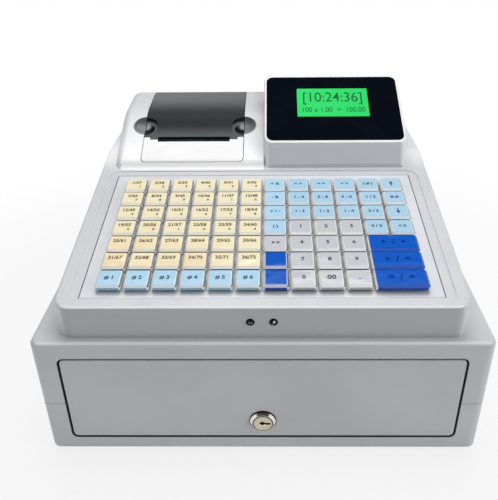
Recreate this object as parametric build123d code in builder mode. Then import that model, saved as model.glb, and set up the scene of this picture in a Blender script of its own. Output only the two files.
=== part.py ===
from build123d import *
from math import atan2, cos, hypot, radians, sin, tan
import os

os.makedirs("parts", exist_ok=True)

# Electronic cash register on its own drawer unit, in millimetres.
# X runs to the right, Y to the rear and Z up. The origin is on the surface that
# the feet stand on, under the middle of the whole object.

# ----- Drawer unit: case ----------------------------------------------------
base_width = 317.0
base_depth = 330.0
base_height = 98.5
base_corner_radius = 7.0
base_top_edge_radius = 3.5
base_low_edge_radius = 1.5
base_wall = 2.5
seam_height = 44.0
foot_height = 4.0
foot_radius = 9.0
foot_inset = 26.0
foot_chamfer = 1.0

# ----- Drawer unit: front opening and lock ----------------------------------
opening_side = 17.5
opening_header = 13.5
opening_sill = 11.1
opening_corner_radius = 4.5
lock_proud = 3.0
lock_height = 27.5
lock_flange_radius = 9.8
lock_flange_thickness = 2.8
lock_flange_slope = 2.1
lock_barrel_radius = 8.0
lock_barrel_length = 14.0
lock_plug_radius = 6.65
keyway_length = 8.0
keyway_width = 1.8
keyway_depth = 5.0
keyway_offset = 1.6
cam_length = 21.0
cam_width = 8.0
cam_thickness = 2.0
cam_screw_radius = 3.0
cam_screw_height = 1.2
keeper_width = 22.0
keeper_thickness = 3.0
keeper_clearance = 1.0
keeper_height = 8.5

# ----- Fits -----------------------------------------------------------------
running_clearance = 0.05
loose_clearance = 0.1
seat_clearance = 0.3
cut_over = 1.0

# ----- Case screws ----------------------------------------------------------
screw_radius = 1.5
screw_head_radius = 2.9
screw_head_height = 2.0
screw_grip = 12.0
screw_recess_depth = 8.0
screw_recess_radius = 3.2
boss_radius = 4.5
boss_inset = 17.0
boss_sink = 1.0
pilot_spare = 8.0

# ----- Drawer ---------------------------------------------------------------
front_gap = 1.2
drawer_front_thickness = 12.0
drawer_front_skin = 3.0
drawer_front_edge_radius = 0.8
lock_boss_radius = 13.0
attachment_rib_width = 8.0
drawer_rear_gap = 9.0
tub_top_gap = 8.6
runner_space = 9.0
tub_wall = 1.5
tub_floor_gap = 2.0
cam_space = 8.0
cam_notch_margin = 2.0
runner_height = 9.0
runner_rise = 1.0
rail_gauge = 1.2
rail_foot_width = 3.6
rail_front_gap = 1.0
rail_side_clearance = 0.5
flange_clearance = 1.0

# ----- Till insert and bill clips -------------------------------------------
insert_clearance = 0.5
insert_height = 42.0
insert_wall = 2.0
coin_cell_depth = 72.0
coin_cell_count = 4
bill_cell_count = 3
cell_corner_radius = 3.0
rod_radius = 2.0
rod_below_top = 11.0
rod_from_rear = 9.0
clip_width = 34.0
clip_barrel_radius = 4.0
clip_reach = 38.0
clip_heel_reach = 27.0
clip_pad_thickness = 1.6

# ----- Drawer latch ---------------------------------------------------------
tongue_width = 20.0
tongue_length = 20.0
tongue_thickness = 2.0
tongue_rise = 2.0
tongue_notch_depth = 6.0
tongue_notch_start = 8.5
tongue_notch_length = 7.5
latch_pivot_x = 22.0
latch_pivot_back = 30.0
latch_post_radius = 2.0
latch_hub_radius = 5.0
latch_tip_gap = 0.6
latch_tip_start = 9.5
latch_tip_width = 2.5
latch_tip_depth = 4.4
latch_arm_length = 18.0
latch_arm_half_width = 4.0
latch_slot_reach = 2.5
link_pin_radius = 1.5
plunger_radius = 4.0
plunger_front_reach = 5.0
plunger_inside = 20.0
fork_depth = 6.0
solenoid_width = 22.0
solenoid_length = 30.0
solenoid_gap = 9.0
solenoid_bore_depth = 26.0
solenoid_bore_clearance = 0.3
latch_plate_gauge = 2.0
latch_plate_margin = 6.0
latch_post_rise = 3.0

# ----- Opening spring -------------------------------------------------------
spring_x = -60.0
spring_radius = 6.0
spring_wire_radius = 0.7
spring_pitch = 8.0
spring_post_radius = 3.5
spring_post_length = 25.0
spring_height = 28.0

# ----- Upper housing --------------------------------------------------------
upper_side_setback = 18.0
upper_setback = 6.5
upper_front_height = 24.7
upper_corner_radius = 12.0
upper_edge_radius = 2.0
upper_wall = 3.0
deck_angle = 9.5
shelf_height = 58.0
pan_thickness = 2.0
pan_clearance = 0.3

# Printer hump: runs to the rear in the side view, and heights over the shelf.
hump_side_setback = 10.5
hump_right_x = 0.2
hump_behind_step = 3.3
hump_lead = 9.5
hump_foot_run = 5.0
hump_slope_run = 55.1
hump_crown_run = 49.4
hump_rear_run = 28.0
hump_shoulder_rise = 0.7
hump_crown_front_rise = 27.0
hump_crown_rear_rise = 30.5
hump_rear_rise = 22.5
hump_foot_radius = 8.0
hump_shoulder_radius = 10.0
hump_crown_front_radius = 60.0
hump_crown_rear_radius = 40.0
hump_rear_radius = 9.0
hump_edge_radius = 7.0

# ----- Keyboard -------------------------------------------------------------
key_pitch = 19.05
key_columns = 12
key_rows = 7
keyboard_shift = 0.075
key_width = 17.6
key_bevel = 1.6
key_corner_radius = 1.9
key_cap_height = 3.9
key_gap = 2.2
key_stem_radius = 2.9
key_stem_length = 5.1
wide_key_depth = 18.4
step_side = 9.5
step_front = 3.0
step_behind_plate = 6.7
step_radius = 10.0
step_depth = 0.6
plate_left_margin = 19.3
plate_right_margin = 18.65
plate_front_margin = 13.9
plate_rear_margin = 21.9
plate_behind_step = 7.2
plate_thickness = 1.2
plate_lip = 4.0
plate_clearance = 0.3
switch_hole = 14.2
switch_size = 13.6
switch_depth = 7.0
switch_well_depth = 5.8
board_thickness = 1.6
board_margin = 2.0
chip_height = 2.4
chip_width = 24.0
chip_depth = 16.0
chip_spacing = 44.0
chip_count = 4

# ----- Lamps on the upper front ---------------------------------------------
lamp_radius = 3.0
lamp_spacing = 15.6
lamp_height = 13.0
lamp_proud = 1.6
lamp_stem_radius = 2.4
lamp_stem_length = 6.0

# ----- Receipt printer ------------------------------------------------------
bay_width = 89.0
bay_right_margin = 18.2
bay_clearance = 0.6
bay_corner_radius = 3.5
cover_before_shoulder = 0.6
cover_length = 26.1
cover_thickness = 2.5
lid_gap = 0.4
slot_spare = 6.8
slot_gap = 5.2
tab_width = 6.6
tab_length = 2.5
lid_thickness = 2.5
hinge_from_rear = 15.0
hinge_barrel_radius = 3.0
hinge_pin_radius = 2.0
hinge_pin_reach = 3.4
hinge_ear_width = 4.0
hinge_ear_half = 6.0
hinge_ear_radius = 2.9
dish_behind_edge = 13.0
dish_radius = 10.4
dish_depth = 3.0
dish_wall = 2.0
frame_spare = 8.5
frame_plate = 2.0
frame_behind_cover = 7.1
frame_before_hinge = 1.0
frame_top_clearance = 1.0
frame_top_drop = 9.0
bridge_depth = 10.0
bridge_height = 8.0
platen_behind_edge = 1.0
platen_below_skin = 13.5
platen_radius = 5.0
platen_spare = 2.5
platen_shaft_radius = 2.0
head_thickness = 3.0
head_below = 10.0
head_above = 3.5
motor_radius = 8.0
motor_length = 13.0
roll_behind_edge = 53.0
roll_below_shelf = 13.5
roll_radius = 30.0
roll_width = 57.5
roll_core_radius = 6.0
trough_wall = 2.0
tear_bar_gauge = 0.8
tear_bar_width = 8.0
tear_tooth_pitch = 2.0
tear_tooth_height = 0.4
cup_arm_half = 4.0
cup_arm_drop = 0.5
cup_arm_shift = 5.0
cup_arm_height = 3.4
cup_rim = 0.6
shaft_end = 1.5
cup_post_width = 4.0

# ----- Display pod ----------------------------------------------------------
pod_side_setback = 16.5
pod_behind_step = 4.8
pod_front_step = 3.0
pod_front_run = 5.9
pod_rim_run = 78.1
pod_back_run = 26.0
pod_rim_front_rise = 15.7
pod_rim_rear_rise = 52.5
pod_skirt = 15.0
pod_wall = 3.0
pod_corner_radius = 7.0
pod_edge_radius = 1.2
window_side_margin = 2.25
window_end_margin = 2.5
window_thickness = 1.6
window_radius = 6.0
window_clearance = 0.15
screen_width = 64.5
screen_depth = 37.0
screen_offset_x = 0.3
screen_offset_up = 7.1
screen_clearance = 0.3
screen_below_face = 0.3
screen_opening_margin = 1.0
module_margin = 7.6
module_thickness = 5.0
rear_window_width = 64.0
rear_window_depth = 20.0
rear_window_thickness = 1.5
rear_window_down = 16.0
cable_hole_width = 40.0
cable_hole_depth = 16.0
cable_hole_behind_front = 59.0

# ----- Rear connector panel -------------------------------------------------
panel_x = 76.0
panel_width = 72.0
panel_height = 26.0
panel_above_base = 22.0
panel_flange = 2.0
panel_flange_thickness = 1.5
panel_body_depth = 14.0
drawer_socket_width = 12.5
drawer_socket_height = 9.5
data_socket_width = 9.0
data_socket_height = 8.0
socket_depth = 11.0
power_jack_radius = 4.0
power_pin_radius = 1.0
power_pin_below = 2.0
socket_notch_width = 4.0
socket_notch_height = 1.5
drawer_socket_x = -24.0
data_socket_x = -7.0
power_jack_x = 8.0
rocker_x = 25.0
rocker_width = 10.0
rocker_radius = 7.2
rocker_side_clearance = 0.3
rocker_pivot_depth = 1.0
rocker_back_depth = 4.0
rocker_face_proud = 0.5
rocker_tilt = 16.0
rocker_pin_radius = 1.5
rocker_pin_reach = 1.6

# ----- Levels and places worked out from the sizes above ---------------------
front_y = -(base_depth - lock_proud) / 2
rear_y = front_y + base_depth
base_mid_y = (front_y + rear_y) / 2
shell_z = foot_height
floor_z = shell_z + base_wall
seam_z = shell_z + seam_height
base_top_z = shell_z + base_height
opening_width = base_width - 2 * opening_side
opening_height = base_height - opening_sill - opening_header
opening_bottom_z = shell_z + opening_sill
opening_top_z = opening_bottom_z + opening_height
opening_mid_z = (opening_bottom_z + opening_top_z) / 2
lock_z = shell_z + lock_height
boss_x = base_width / 2 - base_wall - boss_radius + boss_sink
boss_front_y = front_y + boss_inset
boss_rear_y = rear_y - boss_inset
boss_places = [(side * boss_x, y) for side in (-1, 1) for y in (boss_front_y, boss_rear_y)]
foot_x = base_width / 2 - foot_inset
foot_places = [(side * foot_x, y) for side in (-1, 1) for y in (front_y + foot_inset, rear_y - foot_inset)]
screw_seat_z = shell_z + screw_recess_depth
screw_length = seam_height - screw_recess_depth + screw_grip

drawer_back_y = front_y + drawer_front_thickness
tub_width = opening_width - 2 * runner_space
tub_height = opening_height - tub_floor_gap - tub_top_gap
tub_rear_y = rear_y - latch_pivot_back - solenoid_gap - solenoid_length - drawer_rear_gap
tub_bottom_z = opening_bottom_z + tub_floor_gap
tub_floor_z = tub_bottom_z + tub_wall
tub_wall_y = drawer_back_y + cam_space
runner_outer_x = opening_width / 2 - front_gap - seat_clearance
runner_low_z = tub_bottom_z + runner_rise
cam_front_y = front_y + lock_barrel_length + cut_over
keeper_y = cam_front_y - keeper_clearance - keeper_thickness

# Places along the sloping deck, from the housing's front edge.
plate_front = step_front + plate_behind_step
front_row = plate_front + plate_front_margin
rear_row = front_row + (key_rows - 1) * key_pitch
plate_rear = rear_row + plate_rear_margin
step_rear = plate_rear + step_behind_plate
first_column_x = keyboard_shift - (key_columns - 1) * key_pitch / 2
last_column_x = first_column_x + (key_columns - 1) * key_pitch
plate_left = first_column_x - plate_left_margin
plate_right = last_column_x + plate_right_margin

# Places of the hump and the pod, from the front of the base.
step_rear_back = upper_setback + step_rear * cos(radians(deck_angle))
hump_foot = step_rear_back + hump_behind_step
hump_start = hump_foot - hump_lead
hump_shoulder = hump_foot + hump_foot_run
hump_crown_front = hump_shoulder + hump_slope_run
hump_crown_rear = hump_crown_front + hump_crown_run
upper_rear = hump_crown_rear + hump_rear_run
cover_front = hump_shoulder - cover_before_shoulder
lid_front = cover_front + cover_length
dish_back = lid_front + dish_behind_edge
platen_back = lid_front + platen_behind_edge
roll_back = lid_front + roll_behind_edge
hinge_back = upper_rear - hinge_from_rear
frame_front = cover_front + frame_behind_cover
frame_rear = hinge_back - frame_before_hinge
pod_front = step_rear_back + pod_behind_step
pod_rim_front = pod_front + pod_front_run
pod_rim_rear = pod_rim_front + pod_rim_run
pod_rear = pod_rim_rear + pod_back_run

upper_width = base_width - 2 * upper_side_setback
upper_front_y = front_y + upper_setback
upper_rear_y = front_y + upper_rear
upper_mid_y = (upper_front_y + upper_rear_y) / 2
deck_front_z = base_top_z + upper_front_height
shelf_z = base_top_z + shelf_height
deck_slope = tan(radians(deck_angle))
shelf_front_y = upper_front_y + (shelf_z - deck_front_z) / deck_slope
pan_top_z = base_top_z + pan_thickness

deck_plane = Plane(
    origin=(0, upper_front_y, deck_front_z),
    x_dir=(1, 0, 0),
    z_dir=(0, -sin(radians(deck_angle)), cos(radians(deck_angle))),
)


def deck_z(y):
    """Height of the sloping deck at a place y."""
    return deck_front_z + (y - upper_front_y) * deck_slope


def side_point(back, rise):
    """Side-view point (y, z) from a distance behind the base's front and a height over the shelf."""
    return (front_y + back, shelf_z + rise)


def finish(piece, name):
    """Label a finished piece and write it as its own file."""
    piece.label = name
    export_step(piece, f"parts/{name}.step")


# ============================================================================
# Drawer unit
# ============================================================================

# Lower half of the case: a tray with four screw bosses, the rib that the lock
# cam turns down behind, and the post that the opening spring sits on.
with BuildPart() as base_lower_shell:
    with BuildSketch(Plane.XY.offset(shell_z)):
        with Locations((0, base_mid_y)):
            RectangleRounded(base_width, base_depth, base_corner_radius)
    extrude(amount=seam_height)
    fillet(base_lower_shell.faces().sort_by(Axis.Z)[0].edges(), base_low_edge_radius)
    with BuildSketch(Plane.XY.offset(floor_z)):
        with Locations((0, base_mid_y)):
            RectangleRounded(
                base_width - 2 * base_wall, base_depth - 2 * base_wall, base_corner_radius - base_wall
            )
    extrude(amount=seam_height, mode=Mode.SUBTRACT)
    with BuildSketch(Plane.XZ.offset(-front_y + cut_over)):
        with Locations((0, opening_mid_z)):
            RectangleRounded(opening_width, opening_height, opening_corner_radius)
    extrude(amount=-(base_wall + 2 * cut_over), mode=Mode.SUBTRACT)
    with BuildSketch(Plane.XY.offset(floor_z)):
        with Locations(*boss_places):
            Circle(boss_radius)
    extrude(amount=seam_z - floor_z)
    with BuildSketch(Plane.XY.offset(floor_z)):
        with Locations((0, keeper_y + keeper_thickness / 2)):
            Rectangle(keeper_width, keeper_thickness)
    extrude(amount=keeper_height)
    with BuildSketch(Plane.XZ.offset(-rear_y + base_wall)):
        with Locations((spring_x, shell_z + spring_height)):
            Circle(spring_post_radius)
    extrude(amount=spring_post_length)
    with BuildSketch(Plane.XY.offset(shell_z)):
        with Locations(*boss_places):
            Circle(screw_recess_radius)
    extrude(amount=screw_recess_depth, mode=Mode.SUBTRACT)
    with BuildSketch(Plane.XY.offset(shell_z)):
        with Locations(*boss_places):
            Circle(screw_radius + loose_clearance)
    extrude(amount=seam_height, mode=Mode.SUBTRACT)
finish(base_lower_shell.part, "base_lower_shell")

# Upper half of the case: the roof that the register stands on, with the other
# halves of the screw bosses.
with BuildPart() as base_upper_shell:
    with BuildSketch(Plane.XY.offset(seam_z)):
        with Locations((0, base_mid_y)):
            RectangleRounded(base_width, base_depth, base_corner_radius)
    extrude(amount=base_top_z - seam_z)
    fillet(base_upper_shell.faces().sort_by(Axis.Z)[-1].edges(), base_top_edge_radius)
    with BuildSketch(Plane.XY.offset(seam_z)):
        with Locations((0, base_mid_y)):
            RectangleRounded(
                base_width - 2 * base_wall, base_depth - 2 * base_wall, base_corner_radius - base_wall
            )
    extrude(amount=base_top_z - seam_z - base_wall, mode=Mode.SUBTRACT)
    with BuildSketch(Plane.XZ.offset(-front_y + cut_over)):
        with Locations((0, opening_mid_z)):
            RectangleRounded(opening_width, opening_height, opening_corner_radius)
    extrude(amount=-(base_wall + 2 * cut_over), mode=Mode.SUBTRACT)
    with BuildSketch(Plane.XY.offset(seam_z)):
        with Locations(*boss_places):
            Circle(boss_radius)
    extrude(amount=base_top_z - seam_z - base_wall)
    with BuildSketch(Plane.XY.offset(seam_z)):
        with Locations(*boss_places):
            Circle(screw_radius + loose_clearance)
    extrude(amount=screw_grip + pilot_spare, mode=Mode.SUBTRACT)
finish(base_upper_shell.part, "base_upper_shell")

# Four rubber feet under the lower shell.
with BuildPart() as rubber_feet:
    with BuildSketch(Plane.XY):
        with Locations(*foot_places):
            Circle(foot_radius)
    extrude(amount=foot_height)
    chamfer(rubber_feet.faces().filter_by(Plane.XY).group_by(Axis.Z)[0].edges(), foot_chamfer)
finish(rubber_feet.part, "rubber_feet")

# Four pan-head screws, from below, that hold the two shells together.
with BuildPart() as case_screws:
    with BuildSketch(Plane.XY.offset(screw_seat_z - screw_head_height)):
        with Locations(*boss_places):
            Circle(screw_head_radius)
    extrude(amount=screw_head_height)
    with BuildSketch(Plane.XY.offset(screw_seat_z)):
        with Locations(*boss_places):
            Circle(screw_radius)
    extrude(amount=screw_length)
finish(case_screws.part, "case_screws")

# Two pressed steel rails on the floor of the case. Each is a foot, a web and
# two flanges that hold the drawer's runner between them.
rail_web_x = runner_outer_x + rail_side_clearance
rail_flange_x = tub_width / 2 + flange_clearance
rail_low_z = runner_low_z - seat_clearance
rail_high_z = runner_low_z + runner_height + seat_clearance
rail_front_y = drawer_back_y + rail_front_gap
with BuildPart() as slide_rails:
    with BuildSketch(Plane.XZ.offset(-rail_front_y)):
        with BuildLine():
            Polyline(
                (rail_web_x, floor_z),
                (rail_web_x + rail_foot_width, floor_z),
                (rail_web_x + rail_foot_width, floor_z + rail_gauge),
                (rail_web_x + rail_gauge, floor_z + rail_gauge),
                (rail_web_x + rail_gauge, rail_high_z + rail_gauge),
                (rail_flange_x, rail_high_z + rail_gauge),
                (rail_flange_x, rail_high_z),
                (rail_web_x, rail_high_z),
                (rail_web_x, rail_low_z),
                (rail_flange_x, rail_low_z),
                (rail_flange_x, rail_low_z - rail_gauge),
                (rail_web_x, rail_low_z - rail_gauge),
                close=True,
            )
        make_face()
        mirror(about=Plane.YZ)
    extrude(amount=-(tub_rear_y - rail_front_y))
finish(slide_rails.part, "slide_rails")

# Moulded drawer front: a skin with a rim, two ribs that the tub is fixed to,
# and a boss round the lock.
with BuildPart() as drawer_front:
    with BuildSketch(Plane.XZ.offset(-front_y)):
        with Locations((0, opening_mid_z)):
            RectangleRounded(
                opening_width - 2 * front_gap,
                opening_height - 2 * front_gap,
                opening_corner_radius - front_gap,
            )
    extrude(amount=-drawer_front_thickness)
    fillet(drawer_front.faces().sort_by(Axis.Y)[0].edges(), drawer_front_edge_radius)
    with BuildSketch(Plane.XZ.offset(-front_y - drawer_front_skin)):
        with Locations((0, opening_mid_z)):
            Rectangle(
                opening_width - 2 * front_gap - 2 * drawer_front_skin,
                opening_height - 2 * front_gap - 2 * drawer_front_skin,
            )
    extrude(amount=-drawer_front_thickness, mode=Mode.SUBTRACT)
    with BuildSketch(Plane.XZ.offset(-front_y - drawer_front_skin)):
        with Locations((0, lock_z)):
            Circle(lock_boss_radius)
        with Locations((-tub_width / 2, opening_mid_z), (tub_width / 2, opening_mid_z)):
            Rectangle(attachment_rib_width, opening_height - 2 * front_gap - drawer_front_skin)
    extrude(amount=-(drawer_front_thickness - drawer_front_skin))
    with BuildSketch(Plane.XZ.offset(-front_y + cut_over)):
        with Locations((0, lock_z)):
            Circle(lock_barrel_radius + loose_clearance)
    extrude(amount=-(drawer_front_thickness + 2 * cut_over), mode=Mode.SUBTRACT)
finish(drawer_front.part, "drawer_front")

# Steel drawer tub: an open box with a runner on each side, a bay in front for
# the lock cam, and the notched tongue that the latch holds.
tub_half = tub_width / 2
tub_mid_y = (drawer_back_y + tub_rear_y) / 2
tongue_z = tub_bottom_z + tongue_rise
with BuildPart() as drawer_tub:
    with BuildSketch(Plane.XY.offset(tub_bottom_z)):
        with Locations((0, tub_mid_y)):
            Rectangle(tub_width, tub_rear_y - drawer_back_y)
    extrude(amount=tub_height)
    with BuildSketch(Plane.XY.offset(tub_floor_z)):
        with Locations((0, (tub_wall_y + tub_rear_y) / 2)):
            Rectangle(tub_width - 2 * tub_wall, tub_rear_y - tub_wall_y - 2 * tub_wall)
        with Locations((0, drawer_back_y)):
            Rectangle(tub_width - 2 * tub_wall, 2 * cam_space)
    extrude(amount=tub_height, mode=Mode.SUBTRACT)
    with BuildSketch(Plane.XZ.offset(-drawer_back_y)):
        for side in (-1, 1):
            with Locations((side * (tub_half + runner_outer_x) / 2, runner_low_z + runner_height / 2)):
                Rectangle(runner_outer_x - tub_half, runner_height)
    extrude(amount=-(tub_rear_y - drawer_back_y))
    with BuildSketch(Plane.XY.offset(tub_bottom_z)):
        with Locations(((cam_length - cam_width / 2) / 2, drawer_back_y)):
            Rectangle(cam_length + cam_width / 2 + 2 * cam_notch_margin, 2 * cam_space)
    extrude(amount=tub_wall, mode=Mode.SUBTRACT)
    with BuildSketch(Plane.XY.offset(tongue_z)):
        with Locations((0, tub_rear_y + tongue_length / 2)):
            Rectangle(tongue_width, tongue_length)
        with Locations(
            (tongue_width / 2, tub_rear_y + tongue_notch_start + tongue_notch_length / 2)
        ):
            Rectangle(2 * tongue_notch_depth, tongue_notch_length, mode=Mode.SUBTRACT)
    extrude(amount=tongue_thickness)
finish(drawer_tub.part, "drawer_tub")

# Moulded till insert: bill cells at the rear and coin cells at the front.
insert_half = tub_half - tub_wall - insert_clearance
insert_front_y = tub_wall_y + tub_wall + insert_clearance
insert_rear_y = tub_rear_y - tub_wall - insert_clearance
coin_front_y = insert_front_y + insert_wall
coin_rear_y = coin_front_y + coin_cell_depth
bill_front_y = coin_rear_y + insert_wall
bill_rear_y = insert_rear_y - insert_wall
bill_cell_width = (2 * insert_half - (bill_cell_count + 1) * insert_wall) / bill_cell_count
coin_cell_width = (2 * insert_half - (coin_cell_count + 1) * insert_wall) / coin_cell_count
bill_cell_x = [
    -insert_half + insert_wall + bill_cell_width / 2 + index * (bill_cell_width + insert_wall)
    for index in range(bill_cell_count)
]
coin_cell_x = [
    -insert_half + insert_wall + coin_cell_width / 2 + index * (coin_cell_width + insert_wall)
    for index in range(coin_cell_count)
]
cell_floor_z = tub_floor_z + insert_wall
rod_y = bill_rear_y - rod_from_rear
rod_z = tub_floor_z + insert_height - rod_below_top
with BuildPart() as till_insert:
    with BuildSketch(Plane.XY.offset(tub_floor_z)):
        with Locations((0, (insert_front_y + insert_rear_y) / 2)):
            Rectangle(2 * insert_half, insert_rear_y - insert_front_y)
    extrude(amount=insert_height)
    with BuildSketch(Plane.XY.offset(cell_floor_z)):
        for cell_x in bill_cell_x:
            with Locations((cell_x, (bill_front_y + bill_rear_y) / 2)):
                RectangleRounded(bill_cell_width, bill_rear_y - bill_front_y, cell_corner_radius)
        for cell_x in coin_cell_x:
            with Locations((cell_x, (coin_front_y + coin_rear_y) / 2)):
                RectangleRounded(coin_cell_width, coin_cell_depth, cell_corner_radius)
    extrude(amount=insert_height, mode=Mode.SUBTRACT)
    with BuildSketch(Plane.YZ.offset(-insert_half - cut_over)):
        with Locations((rod_y, rod_z)):
            Circle(rod_radius + running_clearance)
    extrude(amount=2 * (insert_half + cut_over), mode=Mode.SUBTRACT)
finish(till_insert.part, "till_insert")

# Steel rod that the bill clips turn on.
with BuildPart() as clip_rod:
    with BuildSketch(Plane.YZ.offset(-insert_half)):
        with Locations((rod_y, rod_z)):
            Circle(rod_radius)
    extrude(amount=2 * insert_half)
finish(clip_rod.part, "clip_rod")

# One bill clip in each bill cell: a barrel on the rod, an arm and a flat pad.
pad_low_z = cell_floor_z + seat_clearance
pad_high_z = pad_low_z + clip_pad_thickness
for number, cell_x in enumerate(bill_cell_x, start=1):
    with BuildPart() as bill_clip:
        with BuildSketch(Plane.YZ.offset(cell_x - clip_width / 2)):
            with Locations((rod_y, rod_z)):
                Circle(clip_barrel_radius)
            with BuildLine():
                Polyline(
                    (rod_y, rod_z + clip_barrel_radius),
                    (rod_y - clip_heel_reach, pad_high_z),
                    (rod_y - clip_reach, pad_high_z),
                    (rod_y - clip_reach, pad_low_z),
                    (rod_y - clip_heel_reach + clip_pad_thickness, pad_low_z),
                    (rod_y, rod_z - clip_barrel_radius),
                    close=True,
                )
            make_face()
            with Locations((rod_y, rod_z)):
                Circle(rod_radius + running_clearance, mode=Mode.SUBTRACT)
        extrude(amount=clip_width)
    finish(bill_clip.part, f"bill_clip_{number}")

# Lock barrel with its flange, in the drawer front.
with BuildPart() as lock_cylinder:
    with BuildSketch(Plane.XZ.offset(-front_y + lock_flange_thickness)):
        with Locations((0, lock_z)):
            Circle(lock_flange_radius)
    extrude(amount=-lock_flange_thickness)
    chamfer(lock_cylinder.faces().sort_by(Axis.Y)[0].edges(), lock_flange_slope)
    with BuildSketch(Plane.XZ.offset(-front_y)):
        with Locations((0, lock_z)):
            Circle(lock_barrel_radius)
    extrude(amount=-lock_barrel_length)
    with BuildSketch(Plane.XZ.offset(-front_y + lock_proud)):
        with Locations((0, lock_z)):
            Circle(lock_plug_radius + running_clearance)
    extrude(amount=-(lock_barrel_length + 2 * lock_proud), mode=Mode.SUBTRACT)
finish(lock_cylinder.part, "lock_cylinder")

# Plug that the key turns, with its keyway lying level when the lock is open.
with BuildPart() as lock_plug:
    with BuildSketch(Plane.XZ.offset(-front_y + lock_proud)):
        with Locations((0, lock_z)):
            Circle(lock_plug_radius)
    extrude(amount=-(lock_proud + cam_front_y - front_y))
    with BuildSketch(Plane.XZ.offset(-front_y + lock_proud)):
        with Locations((keyway_offset, lock_z)):
            Rectangle(keyway_length, keyway_width)
    extrude(amount=-keyway_depth, mode=Mode.SUBTRACT)
finish(lock_plug.part, "lock_plug")

# Cam on the back of the plug. It points to the right when the lock is open
# and turns down behind the rib in the case floor when it is shut.
with BuildPart() as lock_cam:
    with BuildSketch(Plane.XZ.offset(-cam_front_y)):
        with Locations((0, lock_z)):
            Circle(cam_width / 2)
        with Locations(((cam_length - cam_width / 2) / 2, lock_z)):
            Rectangle(cam_length - cam_width / 2, cam_width)
        with Locations((cam_length - cam_width / 2, lock_z)):
            Circle(cam_width / 2)
    extrude(amount=-cam_thickness)
    with BuildSketch(Plane.XZ.offset(-cam_front_y - cam_thickness)):
        with Locations((0, lock_z)):
            Circle(cam_screw_radius)
    extrude(amount=-cam_screw_height)
finish(lock_cam.part, "lock_cam")

# Solenoid on its steel plate, with the post that the latch lever turns on.
latch_pivot_y = tub_rear_y + latch_pivot_back
latch_z = tongue_z + tongue_thickness / 2
link_x = latch_pivot_x + latch_arm_length
solenoid_front_y = latch_pivot_y + solenoid_gap
solenoid_rear_y = solenoid_front_y + solenoid_length
plate_top_z = floor_z + latch_plate_gauge
with BuildPart() as latch_solenoid:
    plate_low_x = latch_pivot_x - latch_hub_radius - latch_plate_margin
    plate_high_x = link_x + solenoid_width / 2
    plate_low_y = latch_pivot_y - latch_hub_radius - latch_plate_margin
    with BuildSketch(Plane.XY.offset(floor_z)):
        with Locations(((plate_low_x + plate_high_x) / 2, (plate_low_y + solenoid_rear_y) / 2)):
            Rectangle(plate_high_x - plate_low_x, solenoid_rear_y - plate_low_y)
    extrude(amount=latch_plate_gauge)
    with BuildSketch(Plane.XY.offset(plate_top_z)):
        with Locations((latch_pivot_x, latch_pivot_y)):
            Circle(latch_post_radius)
    extrude(amount=latch_z + latch_post_rise - plate_top_z)
    with BuildSketch(Plane.XY.offset(plate_top_z)):
        with Locations((latch_pivot_x, latch_pivot_y)):
            Circle(latch_hub_radius)
    extrude(amount=latch_z - tongue_thickness / 2 - seat_clearance - plate_top_z)
    with BuildSketch(Plane.XY.offset(plate_top_z)):
        with Locations((link_x, (solenoid_front_y + solenoid_rear_y) / 2)):
            Rectangle(solenoid_width, solenoid_length)
    extrude(amount=latch_z + solenoid_width / 2 - plate_top_z)
    with BuildSketch(Plane.XZ.offset(-solenoid_front_y)):
        with Locations((link_x, latch_z)):
            Circle(plunger_radius + solenoid_bore_clearance)
    extrude(amount=-solenoid_bore_depth, mode=Mode.SUBTRACT)
finish(latch_solenoid.part, "latch_solenoid")

# Plunger with a fork and a link pin at its front end.
with BuildPart() as latch_plunger:
    with BuildSketch(Plane.XZ.offset(-latch_pivot_y + plunger_front_reach)):
        with Locations((link_x, latch_z)):
            Circle(plunger_radius)
    extrude(amount=-(plunger_front_reach + solenoid_gap + plunger_inside))
    with BuildSketch(Plane.XY.offset(latch_z - tongue_thickness / 2 - seat_clearance)):
        with Locations((link_x, latch_pivot_y + (fork_depth - plunger_front_reach) / 2)):
            Rectangle(3 * plunger_radius, plunger_front_reach + fork_depth + cut_over / 2)
    extrude(amount=tongue_thickness + 2 * seat_clearance, mode=Mode.SUBTRACT)
    with BuildSketch(Plane.XY.offset(latch_z - plunger_radius / 2)):
        with Locations((link_x, latch_pivot_y)):
            Circle(link_pin_radius)
    extrude(amount=plunger_radius)
finish(latch_plunger.part, "latch_plunger")

# Latch lever: its hook swings into the tongue's notch, and its other arm is
# moved by the plunger's pin. It is shown released, as when the solenoid pulls.
tip_x = tongue_width / 2 + latch_tip_gap
tip_y = tub_rear_y + latch_tip_start
with BuildPart() as latch_lever:
    with BuildSketch(Plane.XY.offset(latch_z - tongue_thickness / 2)):
        with Locations((latch_pivot_x, latch_pivot_y)):
            Circle(latch_hub_radius)
        with BuildLine():
            Polyline(
                (tip_x, tip_y),
                (tip_x + latch_tip_depth, tip_y),
                (latch_pivot_x + latch_hub_radius / 2, latch_pivot_y - latch_hub_radius / 2),
                (latch_pivot_x - latch_hub_radius / 2, latch_pivot_y),
                (tip_x + latch_tip_depth, tip_y + 2 * latch_tip_width),
                (tip_x + latch_tip_depth / 2, tip_y + latch_tip_width),
                (tip_x, tip_y + latch_tip_width),
                close=True,
            )
        make_face()
        with Locations((latch_pivot_x + latch_arm_length / 2, latch_pivot_y)):
            Rectangle(latch_arm_length, 2 * latch_arm_half_width)
        with Locations((link_x, latch_pivot_y)):
            Circle(latch_arm_half_width)
        with Locations((latch_pivot_x, latch_pivot_y)):
            Circle(latch_post_radius + running_clearance, mode=Mode.SUBTRACT)
        with Locations((link_x, latch_pivot_y)):
            SlotOverall(
                2 * latch_slot_reach, 2 * (link_pin_radius + seat_clearance), mode=Mode.SUBTRACT
            )
    extrude(amount=tongue_thickness)
finish(latch_lever.part, "latch_lever")

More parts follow.
